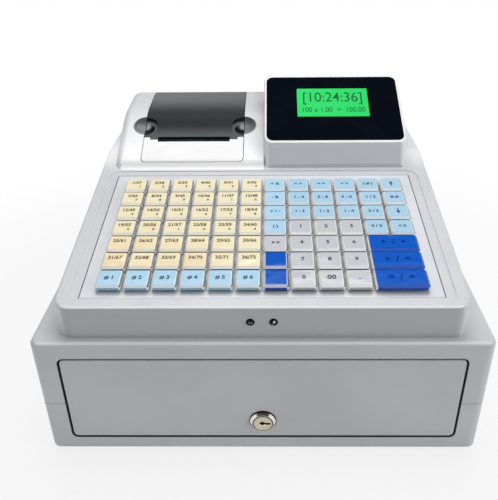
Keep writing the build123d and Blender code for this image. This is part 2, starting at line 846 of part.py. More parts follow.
# Opening spring: squeezed between the tub's rear wall and the case.
spring_front_y = tub_rear_y + seat_clearance + spring_wire_radius
spring_rear_y = rear_y - base_wall - seat_clearance - spring_wire_radius
spring_z = shell_z + spring_height
with BuildPart() as opening_spring:
    with BuildLine() as spring_path:
        Helix(
            pitch=spring_pitch,
            height=spring_rear_y - spring_front_y,
            radius=spring_radius,
            center=(spring_x, spring_front_y, spring_z),
            direction=(0, 1, 0),
        )
    with BuildSketch(Plane(origin=spring_path.line @ 0, z_dir=spring_path.line % 0)):
        Circle(spring_wire_radius)
    sweep(is_frenet=True)
finish(opening_spring.part, "opening_spring")

# ============================================================================
# Upper housing
# ============================================================================

# Steel pan that closes the housing from below.
with BuildPart() as register_pan:
    with BuildSketch(Plane.XY.offset(base_top_z)):
        with Locations((0, upper_mid_y)):
            RectangleRounded(
                upper_width - 2 * (upper_wall + pan_clearance),
                upper_rear_y - upper_front_y - 2 * (upper_wall + pan_clearance),
                upper_corner_radius - upper_wall - pan_clearance,
            )
    extrude(amount=pan_thickness)
finish(register_pan.part, "register_pan")


def wedge_form(inset):
    """The housing's main wedge, drawn in by inset on every side but the bottom."""
    with BuildPart() as wedge:
        with BuildSketch(Plane.XY.offset(base_top_z)):
            with Locations((0, upper_mid_y)):
                RectangleRounded(
                    upper_width - 2 * inset,
                    upper_rear_y - upper_front_y - 2 * inset,
                    upper_corner_radius - inset,
                )
        extrude(amount=shelf_height)
        with BuildSketch(Plane.YZ):
            with BuildLine():
                Polyline(
                    (upper_front_y, base_top_z - inset),
                    (upper_front_y, deck_front_z - inset / cos(radians(deck_angle))),
                    (shelf_front_y + inset * tan(radians(deck_angle / 2)), shelf_z - inset),
                    (upper_rear_y, shelf_z - inset),
                    (upper_rear_y, base_top_z - inset),
                    close=True,
                )
            make_face()
        extrude(amount=upper_width, both=True, mode=Mode.INTERSECT)
    return wedge.part


def hump_outline(plane, inset):
    """Side view of the printer hump, drawn in by inset."""
    with BuildSketch(plane) as outline:
        with BuildLine():
            Polyline(
                (front_y + hump_start, base_top_z),
                (front_y + hump_start, deck_z(front_y + hump_start)),
                (front_y + hump_foot, deck_z(front_y + hump_foot)),
                side_point(hump_shoulder, hump_shoulder_rise),
                side_point(hump_crown_front, hump_crown_front_rise),
                side_point(hump_crown_rear, hump_crown_rear_rise),
                side_point(upper_rear, hump_rear_rise),
                (front_y + upper_rear, base_top_z),
                close=True,
            )
        make_face()
        for corner, radius in (
            (side_point(hump_crown_front, hump_crown_front_rise), hump_crown_front_radius),
            (side_point(hump_crown_rear, hump_crown_rear_rise), hump_crown_rear_radius),
            (side_point(upper_rear, hump_rear_rise), hump_rear_radius),
            (side_point(hump_shoulder, hump_shoulder_rise), hump_shoulder_radius),
            ((front_y + hump_foot, deck_z(front_y + hump_foot)), hump_foot_radius),
        ):
            nearest = outline.vertices().sort_by_distance((*corner, 0))[0]
            fillet(nearest, radius)
        if inset:
            offset(amount=-inset, kind=Kind.INTERSECTION, mode=Mode.REPLACE)
    return outline.sketch


def hump_form(inset, left_x, right_x):
    """Printer hump between two places across the housing, drawn in by inset."""
    with BuildPart() as hump:
        extrude(hump_outline(Plane.YZ.offset(left_x), inset), amount=right_x - left_x)
    return hump.part


def hump_skin_z(back):
    """Height of the hump's upper skin on its front slope or its rear slope."""
    if back < hump_crown_front:
        low = (hump_shoulder, hump_shoulder_rise)
        high = (hump_crown_front, hump_crown_front_rise)
    else:
        low = (hump_crown_rear, hump_crown_rear_rise)
        high = (upper_rear, hump_rear_rise)
    share = (back - low[0]) / (high[0] - low[0])
    return shelf_z + low[1] + share * (high[1] - low[1])


# Places of the printer's pieces.
hump_left_x = hump_side_setback - upper_width / 2
bay_high_x = hump_right_x - bay_right_margin
bay_low_x = bay_high_x - bay_width
printer_x = (bay_low_x + bay_high_x) / 2
slot_width = roll_width + slot_spare
frame_inner_width = roll_width + frame_spare
platen_length = roll_width + platen_spare
hinge_slope = atan2(hump_rear_rise - hump_crown_rear_rise, upper_rear - hump_crown_rear)
hinge_y = front_y + hinge_back + hinge_barrel_radius * sin(hinge_slope)
hinge_z = hump_skin_z(hinge_back) - hinge_barrel_radius * cos(hinge_slope)
bay_front_y = front_y + cover_front - bay_clearance
bay_rear_y = hinge_y + hinge_barrel_radius + bay_clearance
lid_front_y = front_y + lid_front
cover_rear_y = lid_front_y - lid_gap
front_slope = atan2(
    hump_crown_front_rise - hump_shoulder_rise, hump_crown_front - hump_shoulder
)
dish_sphere_radius = (dish_radius**2 + dish_depth**2) / (2 * dish_depth)
dish_lift = dish_sphere_radius - dish_depth
dish_y = front_y + dish_back - dish_lift * sin(front_slope)
dish_z = hump_skin_z(dish_back) + dish_lift * cos(front_slope)
dish_places = [(bay_low_x, dish_y, dish_z), (bay_high_x, dish_y, dish_z)]
dish_plane = Plane(
    origin=(0, front_y + dish_back, hump_skin_z(dish_back)),
    x_dir=(1, 0, 0),
    z_dir=(0, -sin(front_slope), cos(front_slope)),
)

# Places of the keyboard's pieces, measured along the sloping deck.
step_width = upper_width - 2 * step_side
step_mid = (step_front + step_rear) / 2
plate_mid_x = (plate_left + plate_right) / 2
plate_mid = (plate_front + plate_rear) / 2
plate_width = plate_right - plate_left
plate_length = plate_rear - plate_front
plate_top = -step_depth
plate_low = plate_top - plate_thickness
key_places = [
    (first_column_x + column * key_pitch, front_row + row * key_pitch)
    for row in range(key_rows)
    for column in range(key_columns)
]

# Places of the display pod's pieces.
pod_left_x = hump_right_x + seat_clearance
pod_right_x = upper_width / 2 - pod_side_setback
pod_width = pod_right_x - pod_left_x
pod_mid_x = (pod_left_x + pod_right_x) / 2
window_width = pod_width - 2 * window_side_margin
window_depth = hypot(pod_rim_run, pod_rim_rear_rise - pod_rim_front_rise) - 2 * window_end_margin
module_width = screen_width + 2 * module_margin
module_depth = screen_depth + 2 * module_margin
rim_slope = atan2(pod_rim_rear_rise - pod_rim_front_rise, pod_rim_rear - pod_rim_front)
rim_mid = side_point(
    (pod_rim_front + pod_rim_rear) / 2, (pod_rim_front_rise + pod_rim_rear_rise) / 2
)
rim_plane = Plane(
    origin=(pod_mid_x, *rim_mid), x_dir=(1, 0, 0), z_dir=(0, -sin(rim_slope), cos(rim_slope))
)
pod_back_slope = atan2(pod_rim_rear_rise, pod_back_run)
rear_window_down_y = rear_window_down * cos(pod_back_slope)
rear_window_down_z = rear_window_down * sin(pod_back_slope)
rear_face_plane = Plane(
    origin=(
        pod_mid_x,
        front_y + pod_rim_rear + rear_window_down_y,
        shelf_z + pod_rim_rear_rise - rear_window_down_z,
    ),
    x_dir=(1, 0, 0),
    z_dir=(0, sin(pod_back_slope), cos(pod_back_slope)),
)

# Place of the rear connector panel.
panel_z = base_top_z + panel_above_base
panel_face_y = upper_rear_y + panel_flange_thickness
rocker_y = panel_face_y - rocker_pivot_depth

# Upper housing: one moulded cover with a sloping key deck, a shelf for the
# display pod and a hump over the printer, open below and over the paper.
with BuildPart() as hump_outside:
    add(hump_form(0, hump_left_x, hump_right_x))
    slope_middle = (hump_left_x, front_y + dish_back, hump_skin_z(dish_back))
    fillet(hump_outside.edges().sort_by_distance(slope_middle)[0], hump_edge_radius)

with BuildPart() as upper_housing:
    add(wedge_form(0))
    deck_edges = upper_housing.faces().filter_by(lambda face: face.normal_at().Z > 0.9).edges()
    knee = deck_edges.filter_by(Axis.X).group_by(lambda edge: abs(edge.center().Y - shelf_front_y))[0]
    fillet([edge for edge in deck_edges if edge not in knee], upper_edge_radius)
    add(hump_outside.part)
    add(wedge_form(upper_wall), mode=Mode.SUBTRACT)
    add(hump_form(upper_wall, hump_left_x + upper_wall, hump_right_x - upper_wall), mode=Mode.SUBTRACT)
    # Lowered field round the keys, the seat of the key plate and the opening under it.
    with BuildSketch(deck_plane):
        with Locations((0, step_mid)):
            RectangleRounded(step_width, step_rear - step_front, step_radius)
    extrude(amount=-step_depth, mode=Mode.SUBTRACT)
    with BuildSketch(deck_plane.offset(plate_top)):
        with Locations((plate_mid_x, plate_mid)):
            Rectangle(plate_width + 2 * plate_clearance, plate_length + 2 * plate_clearance)
    extrude(amount=-plate_thickness, mode=Mode.SUBTRACT)
    with BuildSketch(deck_plane.offset(plate_low)):
        with Locations((plate_mid_x, plate_mid)):
            Rectangle(plate_width - 2 * plate_lip, plate_length - 2 * plate_lip)
    extrude(amount=-2 * upper_wall, mode=Mode.SUBTRACT)
    # Printer bay, with ears for the lid's pins.
    with BuildSketch(Plane.XY.offset(shelf_z - upper_wall)) as bay:
        with Locations((printer_x, (bay_front_y + bay_rear_y) / 2)):
            Rectangle(bay_width + 2 * bay_clearance, bay_rear_y - bay_front_y)
        fillet(bay.vertices().group_by(Axis.Y)[0], bay_corner_radius)
    extrude(amount=base_height, mode=Mode.SUBTRACT)
    for side, wall_x in ((-1, bay_low_x - bay_clearance), (1, bay_high_x + bay_clearance)):
        with BuildSketch(Plane.YZ.offset(wall_x)):
            with Locations((hinge_y, hinge_z - hinge_ear_half / 2)):
                Rectangle(2 * hinge_ear_half, hinge_ear_half)
            with Locations((hinge_y, hinge_z)):
                Circle(hinge_ear_radius)
        extrude(amount=side * hinge_ear_width)
        with BuildSketch(Plane.YZ.offset(wall_x)):
            with Locations((hinge_y, hinge_z)):
                Circle(hinge_pin_radius + running_clearance)
        extrude(amount=side * hinge_ear_width, mode=Mode.SUBTRACT)
    # Round holes that the thumb cups sit in.
    with BuildSketch(dish_plane):
        for place in dish_places:
            with Locations((place[0], 0)):
                Circle(dish_radius + cup_rim + seat_clearance)
    extrude(amount=2 * dish_radius, both=True, mode=Mode.SUBTRACT)
    # Hole for the display's cable, below the pod.
    with BuildSketch(Plane.XY.offset(shelf_z - 2 * upper_wall)):
        with Locations((pod_mid_x, front_y + pod_front + cable_hole_behind_front)):
            Rectangle(cable_hole_width, cable_hole_depth)
    extrude(amount=3 * upper_wall, mode=Mode.SUBTRACT)
    # Two lamp holes in front and the opening for the connector panel behind.
    with BuildSketch(Plane.XZ.offset(-upper_front_y + cut_over)):
        for side in (-1, 1):
            with Locations((side * lamp_spacing / 2, base_top_z + lamp_height)):
                Circle(lamp_stem_radius + loose_clearance)
    extrude(amount=-(upper_wall + 2 * cut_over), mode=Mode.SUBTRACT)
    with BuildSketch(Plane.XZ.offset(-upper_rear_y + upper_wall + cut_over)):
        with Locations((panel_x, panel_z)):
            Rectangle(panel_width + 2 * loose_clearance, panel_height + 2 * loose_clearance)
    extrude(amount=-(upper_wall + 2 * cut_over), mode=Mode.SUBTRACT)
finish(upper_housing.part, "upper_housing")

# Two indicator lamps: a domed lens on a stem through the front wall.
with BuildPart() as indicator_lamps:
    lamp_dome_radius = (lamp_radius**2 + lamp_proud**2) / (2 * lamp_proud)
    lamp_dome_y = upper_front_y - lamp_proud + lamp_dome_radius
    for side in (-1, 1):
        with Locations((side * lamp_spacing / 2, lamp_dome_y, base_top_z + lamp_height)):
            Sphere(lamp_dome_radius)
    split(bisect_by=Plane.XZ.offset(-upper_front_y), keep=Keep.TOP)
    for side in (-1, 1):
        with BuildSketch(Plane.XZ.offset(-upper_front_y)):
            with Locations((side * lamp_spacing / 2, base_top_z + lamp_height)):
                Circle(lamp_stem_radius)
        extrude(amount=-lamp_stem_length)
finish(indicator_lamps.part, "indicator_lamps")

# Plate that the key switches are set in, with one square hole for each switch.
with BuildPart() as key_plate:
    with BuildSketch(deck_plane.offset(plate_low)):
        with Locations((plate_mid_x, plate_mid)):
            Rectangle(plate_width, plate_length)
        with Locations(*key_places):
            Rectangle(switch_hole, switch_hole, mode=Mode.SUBTRACT)
    extrude(amount=plate_thickness)
finish(key_plate.part, "key_plate")

# Key switches: square bodies level with the plate, each with a round well.
with BuildPart() as key_switches:
    with BuildSketch(deck_plane.offset(plate_top - switch_depth)):
        with Locations(*key_places):
            Rectangle(switch_size, switch_size)
    extrude(amount=switch_depth)
    with BuildSketch(deck_plane.offset(plate_top - switch_well_depth)):
        with Locations(*key_places):
            Circle(key_stem_radius + seat_clearance)
    extrude(amount=switch_depth, mode=Mode.SUBTRACT)
finish(key_switches.part, "key_switches")

# Main board: carries the switches on top and its chips below.
board_top = plate_top - switch_depth
board_length = (key_rows - 1) * key_pitch + switch_size + 2 * board_margin
board_width = (key_columns - 1) * key_pitch + switch_size + 2 * board_margin
board_mid = (
    (first_column_x + last_column_x) / 2,
    (front_row + rear_row) / 2,
)
with BuildPart() as main_board:
    with BuildSketch(deck_plane.offset(board_top)):
        with Locations(board_mid):
            Rectangle(board_width, board_length)
    extrude(amount=-board_thickness)
    with BuildSketch(deck_plane.offset(board_top - board_thickness)):
        with Locations(board_mid):
            with GridLocations(chip_spacing, chip_spacing, chip_count, 1):
                Rectangle(chip_width, chip_depth)
    extrude(amount=-chip_height)
finish(main_board.part, "main_board")


def key_cap(units, depth):
    """Key on the deck plane's own axes: a bevelled cap, with a round stem for each unit of width."""
    stems = [((unit - (units - 1) / 2) * key_pitch, 0) for unit in range(units)]
    with BuildPart() as cap:
        with BuildSketch(Plane.XY.offset(plate_top + key_gap)):
            RectangleRounded((units - 1) * key_pitch + key_width, depth, key_corner_radius)
        extrude(amount=key_cap_height)
        chamfer(cap.faces().sort_by(Axis.Z)[-1].edges(), key_bevel)
        with BuildSketch(Plane.XY.offset(plate_top + key_gap)):
            with Locations(*stems):
                Circle(key_stem_radius)
        extrude(amount=-key_stem_length)
    return cap.part


def key_group(name, cells, units=1, depth=key_width):
    """Write the keys at the given (column, row) cells, counted from the left and from the front."""
    cap = key_cap(units, depth)
    with BuildPart() as group:
        for column, row in cells:
            across = first_column_x + (column - 1 + (units - 1) / 2) * key_pitch
            along = front_row + (row - 1) * key_pitch
            with Locations(deck_plane.location * Location((across, along, 0))):
                add(cap)
    finish(group.part, name)


# Number keys, one node each.
number_cells = {
    "key_0": (8, 1),
    "key_00": (9, 1),
    "key_point": (10, 1),
    "key_7": (8, 2),
    "key_8": (9, 2),
    "key_9": (10, 2),
    "key_4": (8, 3),
    "key_5": (9, 3),
    "key_6": (10, 3),
    "key_1": (8, 4),
    "key_2": (9, 4),
    "key_3": (10, 4),
}
for key_name, cell in number_cells.items():
    key_group(key_name, [cell])

# Three double-width keys at the front right.
for key_name, row in (("wide_key_front", 1), ("wide_key_middle", 2), ("wide_key_rear", 3)):
    key_group(key_name, [(11, row)], units=2, depth=wide_key_depth)

# Item keys in three pairs of rows, and the other function keys by their place.
for key_name, first_row in (("item_keys_front", 2), ("item_keys_middle", 4), ("item_keys_rear", 6)):
    key_group(
        key_name, [(column, row) for row in (first_row, first_row + 1) for column in range(1, 7)]
    )
key_group(
    "function_keys",
    [(column, 1) for column in range(1, 7)] + [(7, row) for row in range(1, key_rows + 1)],
)
key_group("upper_keys", [(column, row) for row in (5, 6, 7) for column in (8, 9, 10)])
key_group("right_keys", [(column, row) for row in (4, 5, 6, 7) for column in (11, 12)])

# ============================================================================
# Receipt printer
# ============================================================================

# Cover in front of the paper slot, let into the hump.
tab_span = slot_width + 2 * tab_width
with BuildPart() as printer_cover:
    add(hump_form(0, bay_low_x, bay_high_x))
    add(hump_form(cover_thickness, bay_low_x, bay_high_x), mode=Mode.SUBTRACT)
    with BuildSketch(Plane.XY.offset(shelf_z - upper_wall)) as cover_plan:
        with Locations((printer_x, (front_y + cover_front + cover_rear_y) / 2)):
            Rectangle(bay_width, cover_rear_y - front_y - cover_front)
        fillet(cover_plan.vertices().group_by(Axis.Y)[0], bay_corner_radius)
        with Locations((printer_x, cover_rear_y)):
            Rectangle(tab_span + 2 * lid_gap, 2 * tab_length, mode=Mode.SUBTRACT)
            Rectangle(slot_width, 2 * (slot_gap - lid_gap), mode=Mode.SUBTRACT)
    extrude(amount=base_height, mode=Mode.INTERSECT)
finish(printer_cover.part, "printer_cover")

# Lid over the paper: a curved sheet with a barrel and two stub pins at the
# rear, two tabs at the front and half a thumb dish at each side.
with BuildPart() as dish_backs:
    for place in dish_places:
        with Locations(place):
            Sphere(dish_sphere_radius + dish_wall)
    add(hump_form(0, bay_low_x, bay_high_x), mode=Mode.INTERSECT)

with BuildPart() as printer_lid:
    add(hump_form(0, bay_low_x, bay_high_x))
    add(hump_form(lid_thickness, bay_low_x, bay_high_x), mode=Mode.SUBTRACT)
    with BuildSketch(Plane.XY.offset(shelf_z - upper_wall)):
        with Locations((printer_x, (lid_front_y + hinge_y) / 2)):
            Rectangle(bay_width, hinge_y - lid_front_y)
        for side in (-1, 1):
            with Locations((printer_x + side * (slot_width + tab_width) / 2, lid_front_y)):
                Rectangle(tab_width, 2 * tab_length)
    extrude(amount=base_height, mode=Mode.INTERSECT)
    with BuildSketch(Plane.YZ.offset(bay_low_x)):
        with Locations((hinge_y, hinge_z)):
            Circle(hinge_barrel_radius)
    extrude(amount=bay_width)
    with BuildSketch(Plane.YZ.offset(bay_low_x - hinge_pin_reach)):
        with Locations((hinge_y, hinge_z)):
            Circle(hinge_pin_radius)
    extrude(amount=bay_width + 2 * hinge_pin_reach)
    add(dish_backs.part)
    for place in dish_places:
        with Locations(place):
            Sphere(dish_sphere_radius, mode=Mode.SUBTRACT)
finish(printer_lid.part, "printer_lid")

# Paper path places.
platen_y = front_y + platen_back
platen_z = hump_skin_z(platen_back) - platen_below_skin
roll_y = front_y + roll_back
roll_z = shelf_z - roll_below_shelf
trough_radius = roll_radius + seat_clearance
frame_left_x = printer_x - frame_inner_width / 2 - frame_plate
frame_width = frame_inner_width + 2 * frame_plate
arm_high_z = dish_z - dish_sphere_radius - dish_wall - cup_arm_drop
bridge_low_z = hump_skin_z(frame_front) - cover_thickness - bridge_height
plate_high_z = hump_skin_z(hump_crown_rear) - lid_thickness - frame_top_drop

# Bridge between the frame's side plates, right up to the underside of the cover.
with BuildPart() as frame_bridge:
    with BuildSketch(Plane.XY.offset(bridge_low_z)):
        with Locations((printer_x, front_y + frame_front + bridge_depth / 2)):
            Rectangle(frame_width, bridge_depth)
    extrude(amount=base_height)
    add(hump_form(cover_thickness, bay_low_x, bay_high_x), mode=Mode.INTERSECT)

# Dark cups that are the outer halves of the two thumb dishes.
with BuildPart() as thumb_cups:
    for place in dish_places:
        with Locations(place):
            Sphere(dish_sphere_radius + dish_wall)
    with BuildSketch(dish_plane) as cup_plan:
        for place in dish_places:
            with Locations((place[0], 0)):
                Circle(dish_radius + cup_rim)
    extrude(amount=2 * dish_radius, both=True, mode=Mode.INTERSECT)
    add(hump_outside.part, mode=Mode.INTERSECT)
    for place in dish_places:
        with Locations(place):
            Sphere(dish_sphere_radius, mode=Mode.SUBTRACT)
    with BuildSketch(Plane.XY.offset(bridge_low_z)):
        with Locations((printer_x, front_y + dish_back)):
            Rectangle(bay_width + 2 * bay_clearance, 4 * dish_radius)
    extrude(amount=base_height, mode=Mode.SUBTRACT)

# Printer frame: two side plates on the pan, a round trough for the paper roll,
# the bridge under the cover, and an arm out to the cup below each thumb dish.
with BuildPart() as printer_frame:
    with BuildSketch(Plane.YZ.offset(frame_left_x)):
        with BuildLine():
            Polyline(
                (front_y + frame_front, pan_top_z),
                (front_y + frame_front, bridge_low_z + bridge_height - frame_top_clearance),
                (front_y + hump_crown_front, plate_high_z),
                (front_y + frame_rear - bridge_depth, plate_high_z),
                (front_y + frame_rear, plate_high_z - bridge_height),
                (front_y + frame_rear, pan_top_z),
                close=True,
            )
        make_face()
    extrude(amount=frame_width)
    with BuildSketch(Plane.YZ.offset(frame_left_x + frame_plate)):
        with Locations((roll_y, pan_top_z)):
            Rectangle(base_depth, base_height, align=(Align.CENTER, Align.MIN))
    extrude(amount=frame_inner_width, mode=Mode.SUBTRACT)
    with BuildSketch(Plane.YZ.offset(frame_left_x)):
        with Locations((roll_y, roll_z)):
            Circle(trough_radius + trough_wall)
            Circle(trough_radius, mode=Mode.SUBTRACT)
            Rectangle(base_height, base_height, align=(Align.CENTER, Align.MIN), mode=Mode.SUBTRACT)
    extrude(amount=frame_width)
    add(frame_bridge.part)
    with BuildSketch(Plane.YZ.offset(frame_left_x - cut_over)):
        with Locations((platen_y, platen_z)):
            Circle(platen_shaft_radius + running_clearance)
    extrude(amount=frame_width + 2 * cut_over, mode=Mode.SUBTRACT)
    for side in (-1, 1):
        arm_inner_x = printer_x + side * frame_width / 2
        arm_outer_x = printer_x + side * (bay_width / 2 + bay_clearance + cup_post_width)
        post_mid_x = arm_outer_x - side * cup_post_width / 2
        with BuildSketch(Plane.XY.offset(arm_high_z)):
            with Locations(((arm_inner_x + arm_outer_x) / 2, dish_y + cup_arm_shift)):
                Rectangle(abs(arm_outer_x - arm_inner_x), 2 * cup_arm_half)
        extrude(amount=-cup_arm_height)
        with BuildSketch(Plane.XY.offset(arm_high_z)):
            with Locations((post_mid_x, dish_y + cup_arm_shift)):
                Rectangle(cup_post_width, 2 * cup_arm_half)
        extrude(amount=cup_arm_drop + 0.8 * dish_wall)
    add(thumb_cups.part)
finish(printer_frame.part, "printer_frame")

# Paper roll: lies in the trough with its axis across the machine.
with BuildPart() as paper_roll:
    with BuildSketch(Plane.YZ.offset(printer_x - roll_width / 2)):
        with Locations((roll_y, roll_z)):
            Circle(roll_radius)
            Circle(roll_core_radius, mode=Mode.SUBTRACT)
    extrude(amount=roll_width)
finish(paper_roll.part, "paper_roll")

# Rubber-faced roller that feeds the paper, on a steel shaft into its motor.
with BuildPart() as platen_roller:
    with BuildSketch(Plane.YZ.offset(printer_x - platen_length / 2)):
        with Locations((platen_y, platen_z)):
            Circle(platen_radius)
    extrude(amount=platen_length)
    with BuildSketch(Plane.YZ.offset(frame_left_x - motor_length / 2)):
        with Locations((platen_y, platen_z)):
            Circle(platen_shaft_radius)
    extrude(amount=frame_width + motor_length / 2 + shaft_end)
finish(platen_roller.part, "platen_roller")

# Motor on the outside of the left side plate.
with BuildPart() as feed_motor:
    with BuildSketch(Plane.YZ.offset(frame_left_x)):
        with Locations((platen_y, platen_z)):
            Circle(motor_radius)
            Circle(platen_shaft_radius + running_clearance, mode=Mode.SUBTRACT)
    extrude(amount=-motor_length)
finish(feed_motor.part, "feed_motor")

# Thermal print head: a plate between the side plates, just ahead of the roller.
with BuildPart() as print_head:
    with BuildSketch(Plane.XY.offset(platen_z - head_below)):
        with Locations((printer_x, platen_y - platen_radius - seat_clearance - head_thickness / 2)):
            Rectangle(frame_inner_width, head_thickness)
    extrude(amount=head_below + head_above)
finish(print_head.part, "print_head")

# Toothed steel strip under the lid's front edge, for tearing the paper off.
tooth_count = round(slot_width / tear_tooth_pitch)
tooth_width = slot_width / tooth_count
tear_plane = Plane(
    origin=(printer_x, lid_front_y, hump_skin_z(lid_front) - lid_thickness / cos(front_slope)),
    x_dir=(1, 0, 0),
    z_dir=(0, -sin(front_slope), cos(front_slope)),
)
with BuildPart() as tear_bar:
    with BuildSketch(tear_plane):
        with Locations((0, tear_bar_width / 2)):
            Rectangle(slot_width, tear_bar_width)
        for tooth in range(tooth_count):
            tooth_x = -slot_width / 2 + tooth * tooth_width
            with BuildLine():
                Polyline(
                    (tooth_x, 0),
                    (tooth_x + tooth_width / 2, -tear_tooth_height),
                    (tooth_x + tooth_width, 0),
                    close=True,
                )
            make_face()
    extrude(amount=-tear_bar_gauge)
finish(tear_bar.part, "tear_bar")

# ============================================================================
# Display pod
# ============================================================================


def pod_outline(plane, inset):
    """Side view of the display pod, drawn in by inset and reaching down below the shelf."""
    with BuildSketch(plane) as outline:
        with BuildLine():
            Polyline(
                (front_y + pod_front, shelf_z - pod_skirt),
                (front_y + pod_front, deck_z(front_y + pod_front) + pod_front_step),
                side_point(pod_rim_front, pod_rim_front_rise),
                side_point(pod_rim_rear, pod_rim_rear_rise),
                (front_y + pod_rear, shelf_z),
                (front_y + pod_rear, shelf_z - pod_skirt),
                close=True,
            )
        make_face()
        if inset:
            offset(amount=-inset, kind=Kind.INTERSECTION, mode=Mode.REPLACE)
    return outline.sketch


# Shape of the deck and the shelf under the pod.
with BuildPart() as pod_ground:
    with BuildSketch(Plane.YZ.offset(pod_left_x)):
        with BuildLine():
            Polyline(
                (upper_front_y, base_top_z),
                (upper_front_y, deck_front_z),
                (shelf_front_y, shelf_z),
                (upper_rear_y, shelf_z),
                (upper_rear_y, base_top_z),
                close=True,
            )
        make_face()
    extrude(amount=pod_width)

# Display pod: a hollow moulding that stands on the deck and the shelf. Its
# sloping face has a shallow seat for the window and an opening for the screen.
with BuildPart() as display_pod:
    extrude(pod_outline(Plane.YZ.offset(pod_left_x), 0), amount=pod_width)
    pod_front_mid = (
        front_y + (pod_front + pod_rim_front) / 2,
        shelf_z + pod_rim_front_rise / 2,
    )
    pod_rear_mid = (front_y + (pod_rim_rear + pod_rear) / 2, shelf_z + pod_rim_rear_rise / 2)
    for side_x in (pod_left_x, pod_right_x):
        for corner_mid in (pod_front_mid, pod_rear_mid):
            corner = display_pod.edges().sort_by_distance((side_x, *corner_mid))[0]
            fillet(corner, pod_corner_radius)
    rim_face = display_pod.faces().sort_by_distance((pod_mid_x, *rim_mid))[0]
    rim_front_mid = (pod_mid_x, *side_point(pod_rim_front, pod_rim_front_rise))
    fillet(rim_face.edges().sort_by_distance(rim_front_mid)[0], pod_edge_radius)
    hollow_outline = pod_outline(Plane.YZ.offset(pod_left_x + pod_wall), pod_wall)
    extrude(hollow_outline, amount=pod_width - 2 * pod_wall, mode=Mode.SUBTRACT)
    add(pod_ground.part, mode=Mode.SUBTRACT)
    with BuildSketch(rim_plane):
        RectangleRounded(
            window_width + 2 * window_clearance, window_depth + 2 * window_clearance, window_radius
        )
    extrude(amount=-window_thickness, mode=Mode.SUBTRACT)
    with BuildSketch(rim_plane):
        with Locations((screen_offset_x, screen_offset_up)):
            Rectangle(
                screen_width + 2 * screen_opening_margin, screen_depth + 2 * screen_opening_margin
            )
    extrude(amount=-2 * pod_wall, mode=Mode.SUBTRACT)
    with BuildSketch(rear_face_plane):
        Rectangle(
            rear_window_width + 2 * window_clearance, rear_window_depth + 2 * window_clearance
        )
    extrude(amount=-rear_window_thickness, mode=Mode.SUBTRACT)
finish(display_pod.part, "display_pod")

# Dark window in the pod's sloping face, with an aperture for the screen.
with BuildPart() as display_window:
    with BuildSketch(rim_plane):
        RectangleRounded(window_width, window_depth, window_radius)
        with Locations((screen_offset_x, screen_offset_up)):
            Rectangle(screen_width, screen_depth, mode=Mode.SUBTRACT)
    extrude(amount=-window_thickness)
finish(display_window.part, "display_window")

# Screen module: a board against the inside of the pod, with its glass raised
# into the window's aperture.
with BuildPart() as lcd_module:
    with BuildSketch(rim_plane.offset(-pod_wall)):
        with Locations((screen_offset_x, screen_offset_up)):
            Rectangle(module_width, module_depth)
    extrude(amount=-module_thickness)
    with BuildSketch(rim_plane.offset(-pod_wall)):
        with Locations((screen_offset_x, screen_offset_up)):
            Rectangle(screen_width - 2 * screen_clearance, screen_depth - 2 * screen_clearance)
    extrude(amount=pod_wall - screen_below_face)
finish(lcd_module.part, "lcd_module")

# Small window for the customer in the pod's rear face.
with BuildPart() as customer_window:
    with BuildSketch(rear_face_plane):
        Rectangle(rear_window_width, rear_window_depth)
    extrude(amount=-rear_window_thickness)
finish(customer_window.part, "customer_window")

# ============================================================================
# Rear connector panel
# ============================================================================

# Panel with a drawer socket, a data socket, a power jack and a seat for the
# power switch.
with BuildPart() as port_panel:
    with BuildSketch(Plane.XZ.offset(-panel_face_y)):
        with Locations((panel_x, panel_z)):
            Rectangle(panel_width + 2 * panel_flange, panel_height + 2 * panel_flange)
    extrude(amount=panel_flange_thickness)
    with BuildSketch(Plane.XZ.offset(-panel_face_y)):
        with Locations((panel_x, panel_z)):
            Rectangle(panel_width, panel_height)
    extrude(amount=panel_body_depth)
    with BuildSketch(Plane.XZ.offset(-panel_face_y)):
        for socket_x, width, height in (
            (drawer_socket_x, drawer_socket_width, drawer_socket_height),
            (data_socket_x, data_socket_width, data_socket_height),
        ):
            with Locations((panel_x + socket_x, panel_z)):
                Rectangle(width, height)
            with Locations((panel_x + socket_x, panel_z - height / 2)):
                Rectangle(socket_notch_width, 2 * socket_notch_height)
        with Locations((panel_x + power_jack_x, panel_z)):
            Circle(power_jack_radius)
            Circle(power_pin_radius, mode=Mode.SUBTRACT)
    extrude(amount=socket_depth, mode=Mode.SUBTRACT)
    with BuildSketch(Plane.XZ.offset(-panel_face_y)):
        with Locations((panel_x + power_jack_x, panel_z)):
            Circle(power_jack_radius)
    extrude(amount=power_pin_below, mode=Mode.SUBTRACT)
    with BuildSketch(Plane.XZ.offset(-panel_face_y)):
        with Locations((panel_x + rocker_x, panel_z)):
            Rectangle(
                rocker_width + 2 * rocker_side_clearance, 2 * (rocker_radius + rocker_side_clearance)
            )
    extrude(amount=rocker_pivot_depth + rocker_radius + rocker_side_clearance, mode=Mode.SUBTRACT)
    rocker_hole_half = rocker_width / 2 + rocker_pin_reach + rocker_side_clearance
    with BuildSketch(Plane.YZ.offset(panel_x + rocker_x - rocker_hole_half)):
        with Locations((rocker_y, panel_z)):
            Circle(rocker_pin_radius + running_clearance)
    extrude(amount=2 * rocker_hole_half, mode=Mode.SUBTRACT)
finish(port_panel.part, "port_panel")

